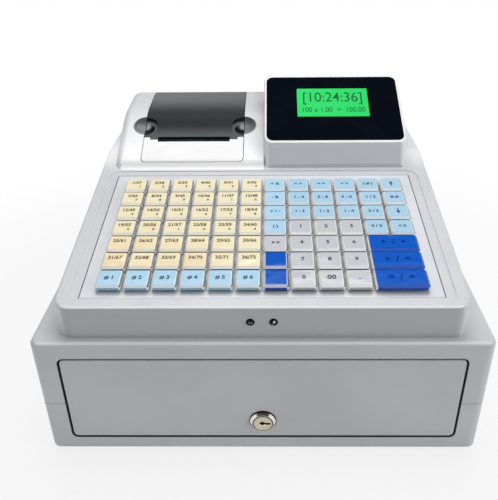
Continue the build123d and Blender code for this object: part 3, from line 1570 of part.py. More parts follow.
# Rocker of the power switch: its lower half is pressed in when it is off.
rocker_front_y = panel_face_y + rocker_face_proud
with BuildPart() as power_switch:
    with BuildSketch(Plane.YZ.offset(panel_x + rocker_x - rocker_width / 2)):
        with Locations((rocker_y, panel_z)):
            Circle(rocker_radius)
        with BuildLine():
            Polyline(
                (rocker_y - rocker_back_depth, panel_z - rocker_radius),
                (rocker_front_y, panel_z - rocker_radius),
                (rocker_front_y, panel_z),
                (rocker_front_y + rocker_radius * tan(radians(rocker_tilt)), panel_z + rocker_radius),
                (rocker_y - rocker_back_depth, panel_z + rocker_radius),
                close=True,
            )
        make_face(mode=Mode.INTERSECT)
    extrude(amount=rocker_width)
    with BuildSketch(Plane.YZ.offset(panel_x + rocker_x - rocker_width / 2 - rocker_pin_reach)):
        with Locations((rocker_y, panel_z)):
            Circle(rocker_pin_radius)
    extrude(amount=rocker_width + 2 * rocker_pin_reach)
finish(power_switch.part, "power_switch")
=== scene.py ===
from math import asin, cos, pi, radians, sin

import bpy
from mathutils import Matrix, Vector


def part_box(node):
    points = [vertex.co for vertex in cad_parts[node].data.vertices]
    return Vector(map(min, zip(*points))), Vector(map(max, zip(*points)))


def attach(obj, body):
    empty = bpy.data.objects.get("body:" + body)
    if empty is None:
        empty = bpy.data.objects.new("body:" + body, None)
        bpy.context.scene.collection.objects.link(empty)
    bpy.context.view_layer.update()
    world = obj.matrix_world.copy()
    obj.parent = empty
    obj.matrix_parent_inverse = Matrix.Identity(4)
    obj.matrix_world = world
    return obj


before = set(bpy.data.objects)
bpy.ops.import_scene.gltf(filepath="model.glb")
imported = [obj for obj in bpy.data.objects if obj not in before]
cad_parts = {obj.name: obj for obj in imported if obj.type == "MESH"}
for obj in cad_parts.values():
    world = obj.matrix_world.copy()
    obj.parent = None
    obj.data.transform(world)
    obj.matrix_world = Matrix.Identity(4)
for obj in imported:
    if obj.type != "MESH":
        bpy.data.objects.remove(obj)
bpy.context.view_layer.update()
bpy.ops.object.select_all(action="DESELECT")


# ---- Camera ------------------------------------------------------------------
# A camera on a stand in front of the counter, looking down on the keyboard,
# with its frame moved a little to one side.
image_size = 500
focal_pixels = 627.3
axis_right_pixels = 14.1
axis_down_pixels = 0.8
camera_place = Vector((0.00596, -0.49497, 0.36824))
camera_down = radians(30.29)
camera_turn = radians(-0.797)
camera_roll = radians(0.556)

look = Vector((
    sin(camera_turn) * cos(camera_down),
    cos(camera_turn) * cos(camera_down),
    -sin(camera_down),
))
level_right = look.cross(Vector((0, 0, 1))).normalized()
level_down = look.cross(level_right)
right = cos(camera_roll) * level_right + sin(camera_roll) * level_down
down = cos(camera_roll) * level_down - sin(camera_roll) * level_right
turned = Matrix((right, -down, -look)).transposed().to_4x4()
bpy.ops.object.camera_add()
camera = bpy.context.object
camera.data.sensor_width = 36
camera.data.lens = focal_pixels * camera.data.sensor_width / image_size
camera.data.shift_x = -axis_right_pixels / image_size
camera.data.shift_y = axis_down_pixels / image_size
camera.matrix_world = Matrix.Translation(camera_place) @ turned
bpy.context.scene.camera = camera
bpy.context.scene.view_settings.view_transform = "Standard"


# ---- Studio floor and lights -------------------------------------------------
# A pale table top that keeps the register's shadow and fades to white away
# from it, under one wide soft box, with weaker ones to the sides.
def node(tree, kind, **settings):
    """A new shader node, with its properties and the values of its sockets set by name."""
    made = tree.nodes.new("ShaderNode" + kind)
    for name, value in settings.items():
        if name in made.inputs:
            made.inputs[name].default_value = value
        else:
            setattr(made, name, value)
    return made


def emptied_tree(owner):
    """The node tree of a material or a world, with nothing in it."""
    owner.use_nodes = True
    owner.node_tree.nodes.clear()
    return owner.node_tree


def fade(tree, value, low, high, at_low, at_high):
    """The value, carried from the range low..high to the range at_low..at_high with soft ends."""
    ramp = node(tree, "MapRange", interpolation_type="SMOOTHSTEP")
    for socket, number in zip(("From Min", "From Max", "To Min", "To Max"), (low, high, at_low, at_high)):
        ramp.inputs[socket].default_value = number
    tree.links.new(value, ramp.inputs["Value"])
    return ramp.outputs["Result"]


def combine(tree, operation, first, second):
    """A Math node on sockets or plain numbers."""
    made = node(tree, "Math", operation=operation)
    for index, value in enumerate((first, second)):
        if isinstance(value, (int, float)):
            made.inputs[index].default_value = value
        else:
            tree.links.new(value, made.inputs[index])
    return made.outputs[0]


def measure(tree, operation, vector, other=(0, 0, 0)):
    """One number from a vector: its length, or its distance from or dot product with another one."""
    made = node(tree, "VectorMath", operation=operation)
    tree.links.new(vector, made.inputs[0])
    made.inputs[1].default_value = other
    return made.outputs["Value"]


def split(tree, vector):
    """The X, Y and Z sockets of a vector."""
    parts = node(tree, "SeparateXYZ")
    tree.links.new(vector, parts.inputs[0])
    return parts.outputs


floor_reach = 8.0
floor_grey = (0.78, 0.78, 0.78, 1)
plain_white = (1, 1, 1, 1)
white_from, white_to = 0.26, 0.5
white_near = 0.8
bpy.ops.mesh.primitive_circle_add(vertices=96, radius=floor_reach, fill_type="NGON")
floor = bpy.context.object
floor.name = "studio_floor"
floor_paint = bpy.data.materials.new("studio_floor")
tree = emptied_tree(floor_paint)
distance = measure(tree, "LENGTH", node(tree, "TexCoord").outputs["Object"])
table_top = node(tree, "BsdfDiffuse", Color=floor_grey)
glow = node(tree, "Emission", Color=plain_white)
rays = node(tree, "LightPath")
seen = combine(tree, "MAXIMUM", rays.outputs["Is Camera Ray"], rays.outputs["Is Glossy Ray"])
seen = combine(tree, "MAXIMUM", seen, rays.outputs["Is Transmission Ray"])
whiteness = fade(tree, distance, white_from, white_to, white_near, 1)
mix = node(tree, "MixShader")
tree.links.new(combine(tree, "MULTIPLY", whiteness, seen), mix.inputs[0])
tree.links.new(table_top.outputs[0], mix.inputs[1])
tree.links.new(glow.outputs[0], mix.inputs[2])
tree.links.new(mix.outputs[0], node(tree, "OutputMaterial").inputs["Surface"])
floor.data.materials.append(floor_paint)

room_light = 0.38
wall_bright, wall_dark = 0.95, 0.06
wall_from, wall_to = 0.0, 0.2
rear_weight = 0.5
studio = bpy.data.worlds.new("studio")
bpy.context.scene.world = studio
tree = emptied_tree(studio)
direction = split(tree, node(tree, "TexCoord").outputs["Generated"])
height = combine(tree, "ADD", direction["Z"], combine(tree, "MULTIPLY", direction["Y"], rear_weight))
walls = fade(tree, height, wall_from, wall_to, wall_bright, wall_dark)
rays = node(tree, "LightPath")
strength = combine(tree, "MULTIPLY", walls, rays.outputs["Is Glossy Ray"])
plain = combine(tree, "MULTIPLY", combine(tree, "SUBTRACT", 1, rays.outputs["Is Glossy Ray"]), room_light)
strength = combine(tree, "ADD", strength, plain)
white = combine(tree, "MAXIMUM", rays.outputs["Is Camera Ray"], rays.outputs["Is Transmission Ray"])
strength = combine(tree, "MAXIMUM", strength, white)
room = node(tree, "Background", Color=plain_white)
tree.links.new(strength, room.inputs["Strength"])
tree.links.new(room.outputs[0], node(tree, "OutputWorld").inputs["Surface"])
lamp_aim = Vector((0, 0, 0.1))


def soft_box(name, place, width, depth, power):
    """A rectangular lamp aimed at the middle of the register."""
    bpy.ops.object.light_add(type="AREA", location=place)
    lamp = bpy.context.object
    lamp.name = name
    lamp.data.shape = "RECTANGLE"
    lamp.data.size, lamp.data.size_y = width, depth
    lamp.data.energy = power
    lamp.rotation_euler = (lamp_aim - Vector(place)).to_track_quat("-Z", "Y").to_euler()


soft_box("overhead_soft_box", (0.0, 0.38, 1.5), 1.1, 0.95, 13.0)
soft_box("right_soft_box", (1.5, -0.6, 0.9), 0.9, 0.7, 8.0)
soft_box("front_soft_box", (-0.3, -1.6, 0.8), 1.2, 0.6, 1.4)


# ---- Drawer unit's case ------------------------------------------------------
# Two mouldings of light grey ABS with a fine spark-eroded grain, closed with
# screws from below. A shallow joint line shows where they meet at the sides.
def linear(red, green, blue):
    """A colour given as 0 to 255 screen values, as the shader wants it."""
    screen = [value / 255 for value in (red, green, blue)]
    return tuple(((v + 0.055) / 1.055) ** 2.4 if v > 0.04 else v / 12.92 for v in screen) + (1.0,)


def scaled(colour, share, lift=0.0):
    """The colour, darker or brighter by share, and lifted evenly."""
    return tuple(share * value + lift for value in colour[:3]) + (1.0,)


def finish_of(name, roughness, metallic=0.0, coat=0.0, specular=0.5):
    """A new material with one Principled shader, and the coordinates its patterns read."""
    made = bpy.data.materials.new(name)
    tree = emptied_tree(made)
    shader = node(tree, "BsdfPrincipled", Roughness=roughness, Metallic=metallic)
    shader.inputs["Coat Weight"].default_value = coat
    shader.inputs["Specular IOR Level"].default_value = specular
    tree.links.new(shader.outputs[0], node(tree, "OutputMaterial").inputs["Surface"])
    return made, tree, shader, node(tree, "TexCoord").outputs["Object"]


def moved(tree, place, **settings):
    """The coordinates centred, turned or stretched for a pattern."""
    mapping = node(tree, "Mapping", **settings)
    tree.links.new(place, mapping.inputs["Vector"])
    return mapping.outputs["Vector"]


def noise(tree, place, size, detail=2.0, stretch=None):
    """Noise whose lumps are about size metres across, stretched along an axis if asked."""
    made = node(tree, "TexNoise", Scale=1 / size, Detail=detail)
    if stretch:
        place = moved(tree, place, Scale=stretch)
    tree.links.new(place, made.inputs["Vector"])
    return made.outputs["Fac"]


def patches(tree, place, size, detail, low=0.3, high=0.7, most=1, stretch=None):
    """A share from 0 to most that drifts over the surface with noise of the given size."""
    return fade(tree, noise(tree, place, size, detail, stretch), low, high, 0, most)


def blend(tree, share, first, second):
    """A colour between two, each a socket or a colour. The share is a socket or a number."""
    made = node(tree, "Mix", data_type="RGBA")
    if isinstance(share, (int, float)):
        made.inputs["Factor"].default_value = share
    else:
        tree.links.new(share, made.inputs["Factor"])
    for socket, colour in ((made.inputs[6], first), (made.inputs[7], second)):
        if isinstance(colour, tuple):
            socket.default_value = colour
        else:
            tree.links.new(colour, socket)
    return made.outputs[2]


def colour_with(tree, shader, paint):
    """Give the shader the paint as its base colour."""
    tree.links.new(paint, shader.inputs["Base Color"])


def paint_of(shader):
    """The paint that is the shader's base colour so far."""
    return shader.inputs["Base Color"].links[0].from_socket


def grain(tree, shader, height, depth, strength=1.0):
    """Raise the surface by depth metres where height is 1."""
    bump = node(tree, "Bump", Distance=depth, Strength=strength)
    tree.links.new(height, bump.inputs["Height"])
    tree.links.new(bump.outputs[0], shader.inputs["Normal"])


def roughen(tree, shader, marks, smoothest, roughest):
    """Let the roughness follow noise marks, between two values."""
    tree.links.new(fade(tree, marks, 0.3, 0.7, smoothest, roughest), shader.inputs["Roughness"])


def moulded(name, colour, roughness=0.42, specular=0.5, grain_depth=0.00003):
    """Moulded plastic: a fine grain, faint unevenness of colour and a few handled, shinier patches."""
    made, tree, shader, place = finish_of(name, roughness, specular=specular)
    cloud = patches(tree, place, 0.06, 4, 0.35, 0.75)
    colour_with(tree, shader, blend(tree, cloud, colour, scaled(colour, 0.93)))
    roughen(tree, shader, noise(tree, place, 0.025, 3), roughness - 0.05, roughness + 0.07)
    grain(tree, shader, noise(tree, place, 0.0005), grain_depth)
    return made, tree, shader, place


def dress(material, *names):
    """Give the material to the whole of each CAD node."""
    for name in names:
        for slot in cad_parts[name].material_slots:
            slot.material = material


def distance_from(tree, value, middle):
    """How far the value is from middle, either way."""
    return combine(tree, "ABSOLUTE", combine(tree, "SUBTRACT", value, middle), 0)


def diagonal(tree, first, second):
    """The length of a diagonal whose two sides are given."""
    squares = [combine(tree, "MULTIPLY", side, side) for side in (first, second)]
    return combine(tree, "SQRT", combine(tree, "ADD", *squares), 0)


def band(tree, value, middle, half):
    """1 where the value is within half of middle, with a soft edge, and 0 elsewhere."""
    return fade(tree, distance_from(tree, value, middle), 0.7 * half, half, 1, 0)


def facing_front(tree):
    """1 on faces that look to the front and 0 on the others."""
    facing = measure(tree, "DOT_PRODUCT", node(tree, "TexCoord").outputs["Normal"], (0, -1, 0))
    return fade(tree, facing, 0.8, 0.98, 0, 1)


def deeper_up_the_front(tree, place, paint, top):
    """The paint, with a painted shade a little deeper towards the top of faces that look to the front."""
    foot, deepest = 0.02, 0.2
    rise = fade(tree, split(tree, place)["Z"], foot, top, 0, deepest)
    return blend(tree, combine(tree, "MULTIPLY", facing_front(tree), rise), paint, linear(160, 160, 164))


def gleam_on_edges(tree, paint, share):
    """The paint, with a painted highlight in a thin line along edges that turn from the top to the front."""
    middle_of_edge = (0, -0.6, 0.8)
    facing = measure(tree, "DOT_PRODUCT", node(tree, "TexCoord").outputs["Normal"], middle_of_edge)
    line = fade(tree, facing, 0.94, 0.985, 0, share)
    return blend(tree, line, paint, linear(255, 255, 255))


case_colour = linear(205, 206, 210)
joint_colour = linear(120, 121, 124)
gap_shade_colour = linear(62, 62, 64)
case_edge_highlight = 0.5
joint_half_width = 0.0003
opening_gap, opening_corner = 0.0016, 0.0049
front_wall = 0.008
upper_low, upper_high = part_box("base_upper_shell")
front_low, front_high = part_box("drawer_front")
front_middle = (front_low + front_high) / 2
case_plastic, tree, shader, place = moulded("case_grey_plastic", case_colour)
parts = split(tree, place)
# Painted shade up the front faces, and a painted highlight along their top edge.
case_paint = deeper_up_the_front(tree, place, paint_of(shader), upper_high.z)
case_paint = gleam_on_edges(tree, case_paint, case_edge_highlight)
joint = band(tree, parts["Z"], upper_low.z, joint_half_width)
case_paint = blend(tree, joint, case_paint, joint_colour)
# Painted shade in the drawer opening's reveal and in a thin ring round it on the front.
past_corner = []
for axis, middle, high in (("X", front_middle.x, front_high.x), ("Z", front_middle.z, front_high.z)):
    reach = high - middle + opening_gap - opening_corner
    past = combine(tree, "SUBTRACT", distance_from(tree, parts[axis], middle), reach)
    past_corner.append(combine(tree, "MAXIMUM", past, 0))
painted_shade_in_opening = combine(tree, "LESS_THAN", diagonal(tree, *past_corner), opening_corner)
at_front = combine(tree, "LESS_THAN", parts["Y"], front_low.y + front_wall)
painted_shade_in_opening = combine(tree, "MULTIPLY", painted_shade_in_opening, at_front)
colour_with(tree, shader, blend(tree, painted_shade_in_opening, case_paint, gap_shade_colour))
dress(case_plastic, "base_lower_shell", "base_upper_shell")


# ---- Feet and case screws ----------------------------------------------------
# Four black rubber discs stuck under the case, scuffed where they stand, and
# the long self-cutting screws that close it.
rubber, tree, shader, place = finish_of("foot_rubber", 0.8, specular=0.3)
scuffs = patches(tree, place, 0.004, 5, 0.4)
colour_with(tree, shader, blend(tree, scuffs, linear(38, 38, 40), linear(62, 61, 60)))
grain(tree, shader, noise(tree, place, 0.0008), 0.0001)
dress(rubber, "rubber_feet")


def plated(name, colour, roughness=0.32, brushed=None):
    """Plated or bare metal with fine brush marks or pits, and colour that drifts a little."""
    made, tree, shader, place = finish_of(name, roughness, metallic=1.0)
    tarnish = patches(tree, place, 0.012, 4, 0.35)
    colour_with(tree, shader, blend(tree, tarnish, colour, scaled(colour, 0.9)))
    marks = noise(tree, place, 0.0006, 3, brushed)
    roughen(tree, shader, marks, roughness - 0.08, roughness + 0.12)
    grain(tree, shader, marks, 0.00001)
    return made


zinc = plated("zinc_plating", linear(205, 207, 203), 0.34)
dress(zinc, "case_screws")


# ---- Drawer front ------------------------------------------------------------
# A hollow moulding of the same grey ABS as the case, pushed over the tub's
# front wall, with a gap all round it, painted dark as shade on the case.
front_plastic, tree, shader, place = moulded("drawer_front_plastic", linear(203, 204, 208))
# Painted shade on the front faces, deeper towards the top.
colour_with(tree, shader, deeper_up_the_front(tree, place, paint_of(shader), upper_high.z))
dress(front_plastic, "drawer_front")


# ---- Drawer lock -------------------------------------------------------------
# A nickel-plated cylinder lock: a bright flange, a duller plug with turning
# marks round its dark keyway, and a zinc-plated cam behind.
def spot(tree, place, centre, size, share):
    """A round patch about a point, up to the given share, with a soft edge."""
    return fade(tree, measure(tree, "DISTANCE", place, centre), 0.6 * size, size, share, 0)


def waves(tree, place, **settings):
    """Regular rings or bands, such as turning marks or windings."""
    made = node(tree, "TexWave", **settings)
    tree.links.new(place, made.inputs["Vector"])
    return made.outputs["Fac"]


plug_low, plug_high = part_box("lock_plug")
plug_middle = (plug_low + plug_high) / 2
plug_radius = (plug_high.x - plug_low.x) / 2
flange_low, flange_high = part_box("lock_cylinder")
flange_radius = (flange_high.x - flange_low.x) / 2
groove_width, rim_width = 0.0008, 0.0005
bright_nickel, nickel_shade_paint = linear(226, 224, 214), linear(40, 38, 34)
to_lock_axis = (-plug_middle.x, 0, -plug_middle.z)
nickel, tree, shader, place = finish_of("lock_nickel", 0.09, metallic=1.0)
parts = split(tree, moved(tree, place, Location=to_lock_axis))
from_axis = diagonal(tree, parts["X"], parts["Z"])
# Painted shade in the groove round the plug and along the flange's outer rim.
groove = combine(tree, "LESS_THAN", from_axis, plug_radius + groove_width)
rim = combine(tree, "GREATER_THAN", from_axis, flange_radius - rim_width)
painted_shade_lines = combine(tree, "MAXIMUM", groove, rim)
colour_with(tree, shader, blend(tree, painted_shade_lines, bright_nickel, nickel_shade_paint))
grain(tree, shader, noise(tree, place, 0.0016, 3), 0.00003)
dress(nickel, "lock_cylinder")

keyway_shade, keyway_glint = linear(12, 10, 8), linear(255, 252, 240)
keyway_size, glint_size = 0.0021, 0.0009
plug_metal, tree, shader, place = finish_of("lock_plug_nickel", 0.3, metallic=1.0)
turning_marks = waves(
    tree, moved(tree, place, Location=to_lock_axis),
    wave_type="RINGS", rings_direction="Y", Scale=900, Distortion=0.6,
)
plug_paint = blend(tree, turning_marks, linear(208, 200, 182), linear(184, 176, 158))
# The keyway is a painted shade, with two painted highlights beside it.
for across, up, size, paint in (
    (-0.0004, 0.0004, keyway_size, keyway_shade),
    (-0.0020, -0.0013, glint_size, keyway_glint),
    (0.0012, -0.0013, glint_size, keyway_glint),
):
    centre = Vector((plug_middle.x + across, plug_low.y, plug_middle.z + up))
    plug_paint = blend(tree, spot(tree, place, centre, size, 1), plug_paint, paint)
colour_with(tree, shader, plug_paint)
grain(tree, shader, turning_marks, 0.00002)
dress(plug_metal, "lock_plug")
dress(zinc, "lock_cam")


# ---- Drawer's insides --------------------------------------------------------
# A tub of grey powder-coated steel on folded zinc-plated rails, with a black
# moulded till insert and its sprung bill clips on a rod.
coated, tree, shader, place = finish_of("tub_powder_coat", 0.5)
speckle = patches(tree, place, 0.0012, 2, 0.5, 0.62)
colour_with(tree, shader, blend(tree, speckle, linear(120, 122, 126), linear(137, 139, 143)))
grain(tree, shader, noise(tree, place, 0.0014, 2), 0.00008)
dress(coated, "drawer_tub")
rolled = plated("rolled_zinc_sheet", linear(196, 199, 200), 0.38, brushed=(1, 0.06, 1))
dress(rolled, "slide_rails")
till_plastic = moulded("till_black_plastic", linear(44, 45, 48), 0.5, grain_depth=0.00005)[0]
dress(till_plastic, "till_insert", "bill_clip_1", "bill_clip_2", "bill_clip_3")
dress(zinc, "clip_rod")


# ---- Drawer latch ------------------------------------------------------------
# A solenoid wound with enamelled copper wire on a plated base, which pulls the
# lever clear of the drawer's tongue, and the spring that pushes the drawer out.
winding_top = 0.0095
coil, tree, shader, place = finish_of("copper_winding", 0.28, metallic=0.85)
turns = waves(tree, place, wave_type="BANDS", bands_direction="Y", Scale=420, Distortion=0.4)
wire = blend(tree, turns, linear(120, 58, 28), linear(214, 124, 72))
above_plate = combine(tree, "GREATER_THAN", split(tree, place)["Z"], winding_top)
colour_with(tree, shader, blend(tree, above_plate, linear(190, 192, 190), wire))
grain(tree, shader, combine(tree, "MULTIPLY", turns, above_plate), 0.00015)
dress(coil, "latch_solenoid")
dress(zinc, "latch_plunger", "latch_lever", "opening_spring")


# ---- Upper housing -----------------------------------------------------------
# One large cover in light grey ABS over a steel pan, paler behind the keyboard
# and over the printer, with a fine matt grain.
deck_colour = linear(214, 215, 219)
deck_front_shade = linear(178, 179, 182)
shelf_colour = linear(232, 233, 235)
hump_slope_highlight_colour = linear(252, 252, 253)
hump_top_colour = linear(222, 223, 227)
pod_shadow_colour = linear(160, 161, 164)
deck_edge_highlight, pod_shadow_depth = 0.9, 0.35
deck_front = -0.15
paler_from, paler_to = 0.006, 0.034
shelf_foot, shelf_top = 0.128, 0.156
hump_foot, hump_top, hump_side = 0.160, 0.184, 0.001
slope_from, slope_to = 0.05, 0.08
pod_shadow_from, pod_shadow_to, pod_shadow_end = -0.013, -0.003, 0.003
housing, tree, shader, place = moulded("housing_plastic", deck_colour, 0.34, 0.55)
parts = split(tree, place)
behind_deck = fade(tree, parts["Y"], paler_from, paler_to, 0, 1)
above_deck = fade(tree, parts["Z"], shelf_foot, shelf_top, 0, 1)
back_share = combine(tree, "MULTIPLY", behind_deck, above_deck)
# The slope in front of the hump, left of the pod, is painted near white: its paler plastic with a painted
# highlight.
on_lit_slope = fade(tree, parts["Y"], slope_from, slope_to, 1, 0)
on_lit_slope = combine(tree, "MULTIPLY", on_lit_slope, combine(tree, "LESS_THAN", parts["X"], hump_side))
foot_paint = blend(tree, on_lit_slope, shelf_colour, hump_slope_highlight_colour)
hump_share = fade(tree, parts["Z"], hump_foot, hump_top, 0, 1)
hump_paint = blend(tree, hump_share, foot_paint, hump_top_colour)
# A painted highlight along the deck's front edge.
skin_paint = blend(tree, back_share, gleam_on_edges(tree, paint_of(shader), deck_edge_highlight), hump_paint)
# Painted shadow of the display pod on the hump beside it.
pod_shadow = combine(tree, "MULTIPLY", fade(tree, parts["X"], pod_shadow_from, pod_shadow_to, 0, pod_shadow_depth), back_share)
pod_shadow = combine(tree, "MULTIPLY", pod_shadow, combine(tree, "LESS_THAN", parts["X"], pod_shadow_end))
skin_paint = blend(tree, pod_shadow, skin_paint, pod_shadow_colour)
# Front faces of the deck are painted a shade darker, as painted shade.
front_shade_share = combine(tree, "LESS_THAN", parts["Y"], deck_front)
front_shade_share = combine(tree, "MULTIPLY", facing_front(tree), front_shade_share)
colour_with(tree, shader, blend(tree, front_shade_share, skin_paint, deck_front_shade))
dress(housing, "upper_housing")
dress(rolled, "register_pan")


# ---- Indicator lamps ---------------------------------------------------------
# Two smoked lenses like small beads, pushed into the cover's front. They are
# almost black unlit, with small painted highlights of the lamps above.
lens, tree, shader, place = finish_of("smoked_lens", 0.04, specular=0.12)
lens_paint = blend(tree, patches(tree, place, 0.002, 2), linear(6, 7, 14), linear(18, 20, 28))
lamps_low, lamps_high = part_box("indicator_lamps")
lamp_radius = (lamps_high.z - lamps_low.z) / 2
lamp_height = (lamps_low.z + lamps_high.z) / 2
left_lamp, right_lamp = lamps_low.x + lamp_radius, lamps_high.x - lamp_radius
large_glint, small_glint = 0.0011, 0.0007
glint_colour = linear(236, 239, 246)
for lamp, across, up, size, bright in (
    (right_lamp, 0.0005, 0.0011, large_glint, 0.9),
    (right_lamp, -0.0006, -0.0009, small_glint, 0.5),
    (left_lamp, -0.0008, 0.0006, small_glint, 0.35),
    (left_lamp, 0.0009, 0.0003, small_glint, 0.3),
):
    centre = Vector((lamp + across, lamps_low.y, lamp_height + up))
    lens_paint = blend(tree, spot(tree, place, centre, size, bright), lens_paint, glint_colour)
colour_with(tree, shader, lens_paint)
dress(lens, "indicator_lamps")


# ---- Key plate ---------------------------------------------------------------
# A thin plate of satin anodised aluminium, brushed along its length, that the
# keys come up through.
side_edge_width, rear_edge_width = 0.0006, 0.0008
plate_metal, tree, shader, place = finish_of("anodised_plate", 0.42, metallic=0.12)
parts = split(tree, place)
brush = noise(tree, place, 0.0005, 3, (0.03, 1, 1))
plate_paint = blend(tree, patches(tree, place, 0.05, 3), linear(226, 228, 232), linear(214, 217, 223))
plate_low, plate_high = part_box("key_plate")
# Painted shade along the rear and side edges, where the plate meets the deck's recess.
rear_edge_shade = band(tree, parts["Y"], plate_high.y, rear_edge_width)
plate_paint = blend(tree, rear_edge_shade, plate_paint, linear(168, 170, 174))
from_middle = distance_from(tree, parts["X"], (plate_low.x + plate_high.x) / 2)
side_edge_shade = band(tree, from_middle, (plate_high.x - plate_low.x) / 2, side_edge_width)
colour_with(tree, shader, blend(tree, side_edge_shade, plate_paint, linear(110, 112, 116)))
roughen(tree, shader, brush, 0.36, 0.5)
grain(tree, shader, brush, 0.00001)
dress(plate_metal, "key_plate")


# ---- Key switches and main board ---------------------------------------------
# Black switch bodies in rows on a green lacquered board, whose tracks show
# through the lacquer, with black chips under it.
deck_tilt = radians(9.5)
track_pitch, track_share = 0.0025, 0.03
chip_height = 0.0022
switch_plastic = moulded("switch_black_plastic", linear(30, 31, 33), 0.45)[0]
dress(switch_plastic, "key_switches")
board, tree, shader, place = finish_of("green_circuit_board", 0.3, coat=0.5)
along_board = moved(tree, place, Rotation=(-deck_tilt, 0, 0))
tracks = node(tree, "TexBrick", Scale=1 / (8 * track_pitch), offset=0.37, squash=0.8)
tracks.inputs["Mortar Size"].default_value = track_share
tree.links.new(along_board, tracks.inputs["Vector"])
lacquer = blend(tree, tracks.outputs["Fac"], linear(24, 92, 52), linear(52, 132, 74))
board_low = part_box("main_board")[0]
chip_level = board_low.z * cos(deck_tilt) - board_low.y * sin(deck_tilt) + chip_height
chip = combine(tree, "LESS_THAN", split(tree, along_board)["Z"], chip_level)
colour_with(tree, shader, blend(tree, chip, lacquer, linear(26, 26, 28)))
dress(board, "main_board")


# ---- Keys --------------------------------------------------------------------
# Clear acrylic caps over printed cards: the flat top shows the card, the bevels get painted
# highlights and a brown painted shade on the right, and the sides get painted shade between rows.
def slope_axes(slope):
    """The direction up a face that slopes up to the rear, and the one square to it."""
    return Vector((0, cos(slope), sin(slope))), Vector((0, -sin(slope), cos(slope)))


deck_up, deck_normal = slope_axes(deck_tilt)
deck_origin = Vector((0, -0.157, 0.1272))
cap_top, cap_bevel = 0.0055, 0.0016
cap_shade = linear(92, 84, 74)
cap_gleam = linear(255, 255, 255)
bevel_foot, bevel_head = cap_top - 0.5 * cap_bevel, cap_top - 0.35 * cap_bevel
front_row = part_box("key_0")[0].y
front_row_end, next_row_start = front_row + 0.002, front_row + 0.004
row_shade_in_front, row_shade_between = 0.3, 0.95


def key_finish(name, card, highlight_share=0.7, shade_share=0.8, gloss=0.5, pick_card=None):
    """A clear cap over a card. pick_card may add other card colours by place.

    The bevels move towards white by highlight_share as a painted highlight, and towards brown by shade_share
    on the right as painted shade.
    """
    made, tree, shader, place = finish_of(name, 0.1, coat=gloss, specular=gloss)
    normal = node(tree, "TexCoord").outputs["Normal"]
    facing = measure(tree, "DOT_PRODUCT", normal, deck_normal)
    level = measure(tree, "DOT_PRODUCT", place, deck_normal)
    rise = combine(tree, "SUBTRACT", level, deck_origin.dot(deck_normal))
    inner = fade(tree, rise, bevel_foot, bevel_head, 0, 1)
    card_paint = pick_card(tree, place) if pick_card else card
    worn = blend(tree, patches(tree, place, 0.012, 4, 0.35, most=0.02), card_paint, cap_shade)
    sideways = split(tree, normal)["X"]
    left_share = fade(tree, sideways, -0.5, -0.2, 1, 0)
    right_share = fade(tree, sideways, 0.2, 0.5, 0, 1)
    # Painted highlights and painted shade on the bevels, where light catches the cap and where shade falls.
    gleam = blend(tree, highlight_share, card_paint, cap_gleam)
    shade = blend(tree, shade_share, card_paint, cap_shade)
    left_bevel = blend(tree, inner, blend(tree, 0.4 * shade_share, cap_gleam, cap_shade), gleam)
    right_bevel = blend(tree, inner, shade, gleam)
    bevel_paint = blend(tree, left_share, gleam, left_bevel)
    bevel_paint = blend(tree, right_share, bevel_paint, right_bevel)
    along = split(tree, place)["Y"]
    # Painted shade on the sides between the rows, and a painted highlight on the left and right sides.
    shade_between_rows = fade(tree, along, front_row_end, next_row_start, row_shade_in_front, row_shade_between)
    side_paint = blend(tree, shade_between_rows, card_paint, cap_shade)
    at_sides = combine(tree, "MAXIMUM", left_share, right_share)
    side_paint = blend(tree, at_sides, side_paint, cap_gleam)
    edge_paint = blend(tree, fade(tree, facing, 0.3, 0.5, 0, 1), side_paint, bevel_paint)
    top = fade(tree, facing, 0.82, 0.94, 0, 1)
    colour_with(tree, shader, blend(tree, top, edge_paint, worn))
    grain(tree, shader, noise(tree, place, 0.011, 1), 0.0011, 0.5)
    return made


cream, peach = linear(255, 244, 206), linear(254, 229, 184)
peach_from, peach_to = -0.04, -0.12
sideways_weight, drift_size, drift_reach = 0.5, 0.024, 0.14


def item_cards(tree, place):
    """Cream cards, warmer towards the front left."""
    parts = split(tree, place)
    toward = combine(tree, "ADD", parts["Y"], combine(tree, "MULTIPLY", parts["X"], sideways_weight))
    drift = combine(tree, "MULTIPLY", noise(tree, place, drift_size, 2), drift_reach)
    warmth = fade(tree, combine(tree, "ADD", toward, drift), peach_to, peach_from, 1, 0)
    return blend(tree, warmth, cream, peach)


sky, stone, deep = linear(180, 219, 243), linear(206, 207, 213), linear(20, 92, 198)
deep_rows_end, stone_row_end = -0.105, -0.0863


def last_column_cards(tree, place):
    """Light blue cards, and a column at the right whose cards are dark blue, grey and light blue."""
    parts = split(tree, place)
    column = blend(tree, combine(tree, "GREATER_THAN", parts["Y"], deep_rows_end), deep, stone)
    column = blend(tree, combine(tree, "GREATER_THAN", parts["Y"], stone_row_end), column, sky)
    return blend(tree, combine(tree, "GREATER_THAN", parts["X"], 0), sky, column)


cream_key = key_finish("cream_key_caps", cream, pick_card=item_cards)
sky_key = key_finish("light_blue_key_caps", sky)
stone_key = key_finish("grey_key_caps", stone, 0.9, gloss=0.3)
deep_key = key_finish("dark_blue_key_caps", deep, 0.05, 0.5, 0.03)
mixed_key = key_finish("function_key_caps", sky, 0.6, gloss=0.08, pick_card=last_column_cards)
dress(cream_key, "item_keys_front", "item_keys_middle", "item_keys_rear")
dress(sky_key, "upper_keys", "right_keys")
dress(stone_key, "key_00", "key_point", *(f"key_{digit}" for digit in range(10)))
dress(deep_key, "wide_key_front", "wide_key_middle", "wide_key_rear")
dress(mixed_key, "function_keys")


